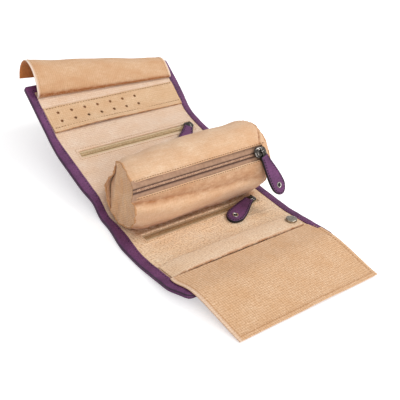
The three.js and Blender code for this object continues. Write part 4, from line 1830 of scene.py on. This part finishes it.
        # Painted shade in the grooves on both sides of the teeth
        paint = {"groove_shade": np.maximum(hump(aside, 3.1, 1.9), hump(aside, -2.4, 1.3))}
        return Sheet(upper, lower, paint=paint).build("pouch_zip_tape_weave")

    def row(self, angle: float, start: float, end: float, radius: float | None = None) -> Row:
        """A line along the pouch at one angle, with its outward directions.

        Args:
            angle: angle from the zip, in degrees.
            start: where it starts across the roll, in mm.
            end: where it ends.
            radius: its distance from the axis; on the cloth if None.

        Returns:
            Points and directions.
        """
        x = np.linspace(start, end, 160)
        turn = np.full_like(x, angle)
        out = self.girth(x, turn) if radius is None else np.full_like(x, radius)
        return self.wrap(x, turn, out + 0.05), self.directions(turn)

    def build(self) -> None:
        """Makes and dresses the pouch."""
        body = POUCH_SUEDE.fit(self.body(), "centre", "pouch_body")
        left = POUCH_END_PAINTED_LIGHT.fit(self.end(Side.LEFT), "centre", "pouch_end_left")
        right = POUCH_SUEDE.fit(self.end(Side.RIGHT), "centre", "pouch_end_right")
        tape = POUCH_TAPE.fit(self.tape(), "centre", "pouch_zip_tape")
        path, up = self.row(self.zip_aside, self.slot_left, self.zip_right - 1, 41.1)
        places = teeth_places(path, up, 1.0, (0.6, 0.5), 0.5)
        POUCH_COIL.fit(scattered("pouch_zip_teeth", *tooth(), places), "centre", "pouch_zip_coil")
        rows = [self.row(side.value * (self.slot + 1.7), self.left + 4, self.right - 6) for side in Side]
        TAN_THREAD_WITH_HOLE_SHADE.fit(POUCH_STITCHES.sew("pouch_zip_stitches", rows), "centre")
        for side in Side:
            POUCH_SUEDE_SEAM.fit(self.seam(side), "centre")


@dataclass
class EarringStrip:
    """The strip with two rows of punched holes on the far panel."""

    start: float = 8.0  # its lower folded edge, counted from the fold
    depth: float = 37.0
    half: float = 99.4  # half its length across the roll
    hole: float = 2.0  # radius of a hole
    block: float = 2.2  # half the side of the grid square that becomes a hole
    first: float = -83.3  # place of the first hole across the roll
    pitch: float = 19.27  # step from hole to hole
    columns: int = 7  # how many holes a row has
    rows: tuple[float, float] = (22.6, 35.0)  # where the rows are, counted from the fold
    gape: float = 3.8  # how far its lower edge stands up in the left half
    level: float = 5.55  # level of its underside

    def hole_lines(self) -> tuple[Array, Array]:
        """Where the holes are across and along the roll."""
        return self.first + self.pitch * np.arange(self.columns), EAR_FOLD + np.array(self.rows)

    def holes(self) -> Array:
        """Middle of every hole, as x and s."""
        return np.stack(crossed(*self.hole_lines()), -1).reshape(-1, 2)

    def gaping(self, x: Array, s: Array) -> Array:
        """How far the strip stands up: most at its lower edge, left of the middle."""
        return self.gape * hump(s, EAR_FOLD + self.start, 13) * hump(x, GAPE_X, GAPE_REACH)

    def warped(self, x: Array, s: Array) -> tuple[Array, Array]:
        """Bends the grid round each hole: a square ring becomes a circle, fading out by 3 blocks.

        Args:
            x: places across, in mm.
            s: places along, in mm.

        Returns:
            The new places across and along.
        """
        centre = self.holes()
        du, dv = x[..., None] - centre[:, 0], s[..., None] - centre[:, 1]
        square = np.maximum(np.abs(du), np.abs(dv))
        away = np.maximum(np.hypot(du, dv), 1e-9)
        share = 1 - eased(square, self.block, 3 * self.block)
        near = square < 3 * self.block
        scale = np.where(near, share * (square / away * self.hole / self.block - 1), 0)
        return x + (du * scale).sum(-1), s + (dv * scale).sum(-1)

    def strip(self) -> Piece:
        """The strip, its holes left out of the grid and its lower edge folded thick.

        Returns:
            The object.
        """
        x_holes, s_holes = self.hole_lines()
        offsets = self.block * np.array([-3, -2, -1, -0.5, 0, 0.5, 1, 2, 3])
        xs = lines(*paired(self.half), *(x_holes[:, None] + offsets).ravel(), gap=3.5)
        low, high = EAR_FOLD + self.start, EAR_FOLD + self.start + self.depth
        edges = (low, low + 0.4, low + 1.2, low + 5, high - 0.6, high)
        ss = lines(*edges, *(s_holes[:, None] + offsets[1:-1]).ravel(), gap=1.6)
        grid_x, grid_s = crossed(xs, ss)
        mid_x, mid_s = cell_middles(grid_x, grid_s)
        centre = self.holes()
        gap = np.maximum(np.abs(mid_x[..., None] - centre[:, 0]), np.abs(mid_s[..., None] - centre[:, 1]))
        keep = (gap > self.block).all(-1)
        x, s = self.warped(grid_x, grid_s)
        edge = rounded(np.minimum(s - low, high - s) + 0.02, 0.9)
        wave = ripple(x, s, ((0.25, 90, 400, 0.4), (0.15, 37, 300, 1.6)))
        lift = self.gaping(x, s) + 0.9 * hump(s, low, 7) + wave
        swell = 0.35 * hump(s, low + 7, 3)
        upper = ROLL.place(bowed(x, s), s, self.level + 0.05 + lift + (1.0 + swell) * (0.4 + 0.6 * edge))
        lower = ROLL.place(bowed(x, s), s, self.level + lift)
        # Painted shade along the strip's lower edge, which stands off the lining
        paint = {"painted_shade": 0.75 * (1 - eased(s - low, 0.2, 1.6))}
        return Sheet(upper, lower, keep, flat=(x, s), paint=paint).build("earring_strip_suede")

    def shade_discs(self) -> Piece:
        """Painted shade in each hole: a dark disc under it.

        Returns:
            The object.
        """
        disc = lathe(((2.4, 0.0), (2.5, 0.04), (2.5, 0.16), (2.4, 0.2)), 14)
        path, out = ROLL.row(*self.holes().T, 5.36)
        return scattered("earring_hole_shade_discs", *disc, upright(out, path))

    def build(self) -> None:
        """Makes and dresses the strip, its stitches and the discs of painted shade under its holes."""
        strip = STRIP_SUEDE.fit(self.strip(), "ear_panel", "earring_strip")
        x = np.linspace(-self.half + 2, self.half - 2, 200)
        rows = []
        for along, level in ((self.depth + self.start - 2.2, 6.8), (self.start + 6.2, 7.2)):
            s = np.full_like(x, EAR_FOLD + along)
            rows.append(ROLL.row(bowed(x, s), s, level + self.gaping(x, s)))
        TAN_THREAD_WITH_HOLE_SHADE.fit(Stitching().sew("earring_strip_stitches", rows), "ear_panel")
        HOLE_PAINTED_SHADE.fit(self.shade_discs(), "ear_panel")


@dataclass
class RingStrap:
    """The padded strap that rings slide on, with its snap."""

    left: float = -104.0  # its sewn end
    right: float = 93.0  # its snapped end
    start: float = 16.0  # its far edge, counted from the near fold towards the near end
    width: float = 26.0
    low: float = 6.0  # level of its underside
    thick: float = 4.0
    snap_x: float = 84.0  # place of the snap across the roll

    @property
    def middle(self) -> float:
        """Where its middle line runs along the roll."""
        return NEAR_FOLD - self.start - self.width / 2

    def strap(self) -> Piece:
        """The strap: a flat padded bar, crowned, bowed up in its middle and pressed down at both ends.

        Returns:
            The object.
        """
        insets = (0, 0.5, 1.4, 3.2)
        near = NEAR_FOLD - self.start - self.width
        far = near + self.width
        x, s = crossed(between(self.left, self.right, insets, 3), between(near, far, insets, 1.6))
        gap = np.minimum(np.minimum(x - self.left, self.right - x), np.minimum(s - near, far - s))
        edge = rounded(gap, 2.0)
        crown = 0.6 * eased(gap, 0, 11) + ripple(x, s, ((0.16, 63, 200, 0.7), (0.1, 29, 90, 0.1)))
        press = 0.7 * hump(np.hypot(x - self.snap_x, s - near - self.width / 2), 0, 9)
        sewn = hump(x, self.left, 15)
        bow = np.clip(1 - ((x + 6) / 84) ** 2, 0, 1)
        middle = self.low + self.thick * 0.45 * (1 - 0.75 * sewn) + bow
        upper = ROLL.place(x, s, middle + (self.thick * 0.5 + crown - press) * (1 - 0.8 * sewn) * edge)
        lower = ROLL.place(x, s, middle - self.thick * 0.42 * (1 - 0.8 * sewn) * edge)
        # Painted shade along the strap's near edge, over the gap beneath it
        painted_shade = 0.7 * (1 - eased(s - near, 0.2, 1.4))
        return Sheet(upper, lower, flat=(x, s), paint={"painted_shade": painted_shade}).build("ring_strap_suede")

    def snap(self) -> Piece:
        """The snap's cap: a low drum with a rounded rim and a faintly domed top.

        Returns:
            The object.
        """
        base, out = ROLL.row(self.snap_x, self.middle, 10.1)
        profile = (
            (1.0, 0.0), (6.4, 0.0), (6.9, 0.3), (7.0, 1.0), (7.0, 2.3), (6.8, 2.8), (6.3, 3.1),
            (5.0, 3.25), (3.0, 3.35), (0.6, 3.4),
        )
        return turned("snap_cap_dome", profile, upright(out, base), 36)

    def build(self) -> None:
        """Makes and dresses the strap and the snap."""
        strap = STRAP_SUEDE.dress(self.strap())
        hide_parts("ring_strap")
        start, end = (tuple(ROLL.point(self.left + along, self.middle, 8)) for along in (0, 9))
        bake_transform(strap)
        LOG.info("made %s", strap.name)
        PEWTER.fit(self.snap(), "ring_bar", "snap_cap")
        for node in ("snap_socket", "snap_stud"):
            PEWTER.dress(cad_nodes()[node])


@dataclass
class NearFlap:
    """The covering flap that lies over the near edge."""

    left: float = -104.5
    right: float = 105.0
    thick: float = 1.4
    skew: float = 9.0  # how far it drifts right on its way down
    cut: float = 15.0  # how far its upper right corner is cut back
    fuller: float = 5.0  # how far its upper left corner stands out
    bend_y: float = -120.33  # where it starts to hang, along Y
    fall: float = 67.5  # how far it runs on from there
    line: SideLine = SideLine(
        (
            (-187.83, 1.55), (-175.68, 4.03), (-154.08, 9.61), (-133.83, 14.88), (-120.33, 17.05),
            (-105.06, 15.1), (-87.61, 12.74),
        ),
        soften=4.0,
    )

    @property
    def length(self) -> float:
        """Its length along its side line, from the outer edge to the seam."""
        return float(self.line.marks[-1])

    def place(self, x: Array, s: Array, level: Array) -> Array:
        """Points of the flap: its side line's, drifting right on the way down, fuller at the upper left.

        Args:
            x: places across, in mm.
            s: places along, in mm.
            level: heights off the line, in mm.

        Returns:
            Points in mm.
        """
        points = self.line.place(x, s, level)
        points[..., 0] += self.skew * np.clip((self.bend_y - points[..., 1]) / self.fall, 0, 1.1)
        points[..., 0] -= self.fuller * hump(points[..., 1], -92, 14) * eased(-x, 70, -self.left)
        return points

    def wave(self, x: Array, s: Array) -> Array:
        """How far the cloth stands off its side line: broad waves at the outer edge, fine ones all over.

        Args:
            x: places across, in mm.
            s: places along, in mm.

        Returns:
            The height, in mm.
        """
        free = eased(self.length - s, 25, 85)
        broad = ripple(x, s, ((0.6, 190, 900, 1.1), (0.4, 83, -300, 0.2)))
        return 0.5 + free * (0.5 + broad) + ripple(x, s, ((0.1, 31, 47, 0.4), (0.08, -23, 71, 1.0)))

    def sheet(self) -> Piece:
        """The flap: a thin sheet along its own side line, hemmed at three edges and gently waved.

        Returns:
            The object.
        """
        insets = (*HEM_LINES, 6)
        x, s = crossed(between(self.left, self.right, insets, 3), lines(*insets, self.length, gap=2.2))
        gap = np.minimum(np.minimum(x - self.left, self.right - x), s)
        s = s - self.cut * eased(x, 95.5, 98.5) * (s / self.length) ** 3
        edge = rounded(gap + 0.02, 0.8)
        hemmed = 0.45 * (1 - eased(gap, 4.4, 5.6))
        middle = self.thick / 2 + self.wave(x, s)
        half = (self.thick + hemmed) / 2
        upper = self.place(x, s, middle + half * edge)
        lower = self.place(x, s, middle - half * edge)
        # Painted shade in a thin line along the hem's inner edge
        paint = {"painted_shade": 0.3 * hump(gap, 4.9, 0.7), "pale": 0.25 * (1 - eased(x - self.left, 2.5, 4.0))}
        return Sheet(upper, lower, flat=(x, s), paint=paint, two_faced=True).build("near_flap_suede")

    def rows(self) -> list[Row]:
        """Hem stitches along both sides and the outer edge.

        Returns:
            Points and outward directions of each row.
        """
        left, right = self.left + HEM_STITCH, self.right - HEM_STITCH
        down, across = np.linspace(HEM_STITCH, self.length - 6, 200), np.linspace(left, right, 200)
        rows = []
        for x, s in ((left, down), (right, down), (across, HEM_STITCH)):
            x, s = np.broadcast_arrays(x, s)
            rows.append((self.place(x, s, self.thick + 0.2 + self.wave(x, s)), self.line.normal(s)))
        return rows

    def build(self) -> None:
        """Makes and dresses the flap."""
        flap = NEAR_SUEDE.dress(self.sheet())
        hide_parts("near_flap")
        thread = PALE_THREAD.dress(HEM_STITCHES.sew("near_flap_stitches", self.rows()))
        start, end = (tuple(self.line.point(0, self.length - along, 0)) for along in (0, 10))
        for piece in (flap, thread):
            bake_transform(piece)
            LOG.info("made %s", piece.name)


@dataclass
class FarFlap:
    """The covering flap curled over the far end, higher at the left."""

    half: float = 101.0  # half its length across the roll
    base: tuple[float, float] = (214.12, 74.9)  # where it leaves the far panel, as y and z
    reach: float = 38.0  # how far it runs back
    rise: float = 25.5  # how high it stands at its middle
    taper: float = 0.44  # how much higher it is at the left, and lower at the right
    draw: float = 0.29  # how much longer it reaches at the left, and shorter at the right
    skew: float = 4.5  # how far up the panel its foot is at the left, and down at the right
    panel: tuple[float, float] = (0.862, 0.507)  # direction up the far panel, as y and z
    thick: float = 1.4
    run: float = 95.0  # its length for grain, waves and hems

    @cached_property
    def curl(self) -> Array:
        """The curl's side view at its middle, as y and z.

        Returns:
            121 points, from foot to outer edge.
        """
        side = np.array(
            [
                (0, 0), (-0.03, 0.1), (0.02, 0.3), (0.22, 0.7), (0.48, 0.98), (0.73, 1.03), (0.92, 0.8),
                (1, 0.45), (1, 0.2),
            ]
        )
        return spline((side * [self.reach, self.rise] + self.base).tolist(), 121)

    def surface(self, x: Array, share: Array, level: Array) -> Array:
        """Points of the curl: its side view, stretched by x, its foot slid along the panel, off by level.

        Args:
            x: places across, in mm.
            share: how far from foot to outer edge, from zero to one.
            level: heights off the line, in mm.

        Returns:
            Points in mm.
        """
        run = np.linspace(0, 1, len(self.curl))
        ahead = np.gradient(self.curl, axis=0)
        slide = -self.skew * x / self.half * (1 - eased(share, 0, 0.45))
        places, slopes = [], []
        for axis, part in enumerate((self.draw, self.taper)):
            stretched = 1 - part * x / self.half
            off = (np.interp(share, run, self.curl[:, axis]) - self.base[axis]) * stretched
            places.append(self.base[axis] + off + self.panel[axis] * slide)
            slopes.append(np.interp(share, run, ahead[:, axis]) * stretched)
        (y, z), (dy, dz) = places, slopes
        size = np.hypot(dy, dz)
        return np.stack([x, y - dz / size * level, z + dy / size * level], -1)

    def rows(self) -> list[Row]:
        """Stitch rows along the sewn foot and both ends, with directions out of the cloth.

        Returns:
            Points and outward directions of each row.
        """
        along, share = np.linspace(3 - self.half, self.half - 3, 200), np.linspace(0.05, 0.95, 200)
        ends = ((side.value * (self.half - HEM_STITCH), share) for side in Side)
        rows = []
        for found in ((along, 0.03), *ends):
            x, part = np.broadcast_arrays(*found)
            path = self.surface(x, part, self.thick + 0.15)
            rows.append((path, self.surface(x, part, self.thick + 1.15) - path))
        return rows

    def sheet(self) -> Piece:
        """The flap: a thin curled sheet with hemmed ends.

        Returns:
            The object.
        """
        shares = np.concatenate([[0, 0.004], np.linspace(0.01, 0.985, 60), [0.992, 1]])
        x, share = crossed(between(-self.half, self.half, HEM_LINES, 3), shares)
        off_end = self.half - np.abs(x)
        gap = np.minimum(off_end, (1 - share) * self.run)
        edge = rounded(gap + 0.02, 0.8)
        hemmed = 0.4 * (1 - eased(gap, 4.4, 5.6))
        broad = ripple(x, share * self.run, ((0.5, 130, 300, 0.3), (0.3, 57, 120, 1.9)))
        middle = self.thick / 2 + eased(share, 0.05, 0.3) * broad
        half = (self.thick + hemmed) / 2
        upper = self.surface(x, share, middle + half * edge)
        lower = self.surface(x, share, middle - half * edge)
        # Painted shade in a line along the foot, where the flap leaves the panel
        paint = {"painted_shade": 1.2 * hump(share, 0.03, 0.035), "pale": 0.7 * (1 - eased(off_end, 1.6, 3.0))}
        flat = (x, share * self.run)
        return Sheet(upper, lower, flat=flat, paint=paint, two_faced=True).build("far_flap_suede")

    def build(self) -> None:
        """Makes and dresses the flap."""
        flap = FAR_SUEDE.dress(self.sheet())
        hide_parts("far_flap")
        flat = (2 * self.half * MM, float(gaps_along(self.curl).sum()) * MM)
        thread = PALE_THREAD.dress(HEM_STITCHES.sew("far_flap_stitches", self.rows()))
        for piece in (flap, thread):
            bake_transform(piece)
            LOG.info("made %s", piece.name)


@dataclass
class Studio:
    """Floor, soft light and the camera."""

    eye: tuple[float, float, float] = (-515.4, -540.36, 529.03)
    pitch: float = 34.017  # how far it looks down, in degrees
    yaw: float = 43.52  # how far it is turned from +Y towards +X
    lean: float = 9.411  # how far it is leaned over
    lens: float = 68.2  # focal length for a 36 mm sensor

    def put(self, name: str, data: bpy.types.ID, matrix: Array) -> Piece:
        """Links a camera or a lamp to the scene.

        Args:
            name: its name.
            data: what it is.
            matrix: where it stands, in metres.

        Returns:
            The object.
        """
        thing = bpy.data.objects.new(name, data)
        thing.matrix_world = Matrix(matrix.tolist())
        bpy.context.scene.collection.objects.link(thing)
        return thing

    def camera(self) -> None:
        """Places the camera from its angles: ahead, right and up, then leaned about the line of sight."""
        pitch, yaw, lean = (math.radians(v) for v in (self.pitch, self.yaw, self.lean))
        ahead = np.array([math.sin(yaw) * math.cos(pitch), math.cos(yaw) * math.cos(pitch), -math.sin(pitch)])
        right = np.array([math.cos(yaw), -math.sin(yaw), 0.0])
        up = np.cross(right, ahead)
        aside = right * math.cos(lean) + up * math.sin(lean)
        rise = up * math.cos(lean) - right * math.sin(lean)
        data = bpy.data.cameras.new("camera")
        data.lens, data.sensor_width, data.clip_end = self.lens, 36.0, 50.0
        place = frames_of(aside, rise, -ahead, np.array(self.eye) * MM)
        bpy.context.scene.camera = self.put("camera", data, place)

    def lamp(self, name: str, place: Array, aim: Array, size: float, power: float) -> None:
        """A square soft lamp.

        Args:
            name: the lamp's name.
            place: where it stands, in metres.
            aim: where it points.
            size: side length in metres.
            power: strength in watts.
        """
        data = bpy.data.lights.new(name, "AREA")
        data.size, data.energy = size, power
        ahead = np.array(aim, float) - np.array(place, float)
        ahead /= np.linalg.norm(ahead)
        right = np.cross(ahead, [0, 0, 1])
        right /= np.linalg.norm(right)
        self.put(name, data, frames_of(right, np.cross(right, ahead), -ahead, place))

    def floor(self) -> None:
        """A wide pale floor that takes shadows and shows white to the camera."""
        side = 6000.0
        corners = np.array([(-side, -side, 0), (side, -side, 0), (side, side, 0), (-side, side, 0)])
        floor = new_object("floor", corners, [[0, 1, 2, 3]])
        ink = Shader("floor_white")
        ink.set(Base_Color=(0.86, 0.86, 0.86, 1.0), Roughness=0.9)
        path = ink.add("LightPath").outputs
        bounced = ink.sum("MAXIMUM", path["Is Glossy Ray"], path["Is Transmission Ray"])
        seen = ink.sum("MAXIMUM", path["Is Camera Ray"], bounced)
        ink.set(Emission_Color=(1.0, 1.0, 1.0, 1.0), Emission_Strength=ink.times(seen, 0.46))
        floor.data.materials.append(ink.material)

    def build(self) -> None:
        """Sets the stage."""
        self.camera()
        self.floor()
        world = bpy.data.worlds.new("studio")
        world.use_nodes = True
        light = world.node_tree.nodes["Background"].inputs
        light["Color"].default_value, light["Strength"].default_value = (1.0, 1.0, 1.0, 1.0), 0.62
        bpy.context.scene.world = world
        self.lamp("key", (1.0, -0.35, 1.5), (0.0, 0.03, 0.03), 0.7, 13.5)
        self.lamp("fill", (-0.4, -1.7, 0.8), (0.0, 0.0, 0.0), 1.4, 15.5)
        bpy.context.scene.view_settings.view_transform = "Standard"


def main() -> None:
    """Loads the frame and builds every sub-assembly in order."""
    logging.basicConfig(level=logging.INFO, format="%(message)s")
    FRAME.update(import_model())
    along, up = (-0.669131, -0.72107, -0.179783), (0.0, -0.241922, 0.970296)
    pouch_along, pouch_up = (0.309017, -0.616399, -0.724266), (0.0, -0.761538, 0.64812)
    pulls = (
        ZipPull("zip_one", (81.0, 132.957, 42.581), along, up, 2.6),
        ZipPull("zip_two", (76.0, -8.0, 11.65), (-0.906308, -0.422618, 0.0), (0.0, 0.0, 1.0), 2.6),
        ZipPull("pouch_zip", (74.0, -12.582, 80.185), pouch_along, pouch_up, 7.0, 1.3),
    )
    builders = (
        Studio(),
        Shell(),
        Lining(),
        PocketZip("zip_one", ZIP_ONE_S, "mid_panel", ["shell_middle", "shell_far"]),
        PocketZip("zip_two", ZIP_TWO_S, "centre", ["shell_near"]),
        Pouch(),
        EarringStrip(),
        RingStrap(),
        NearFlap(),
        FarFlap(),
        *pulls,
    )
    for builder in builders:
        builder.build()


if __name__ == "__main__":
    main()
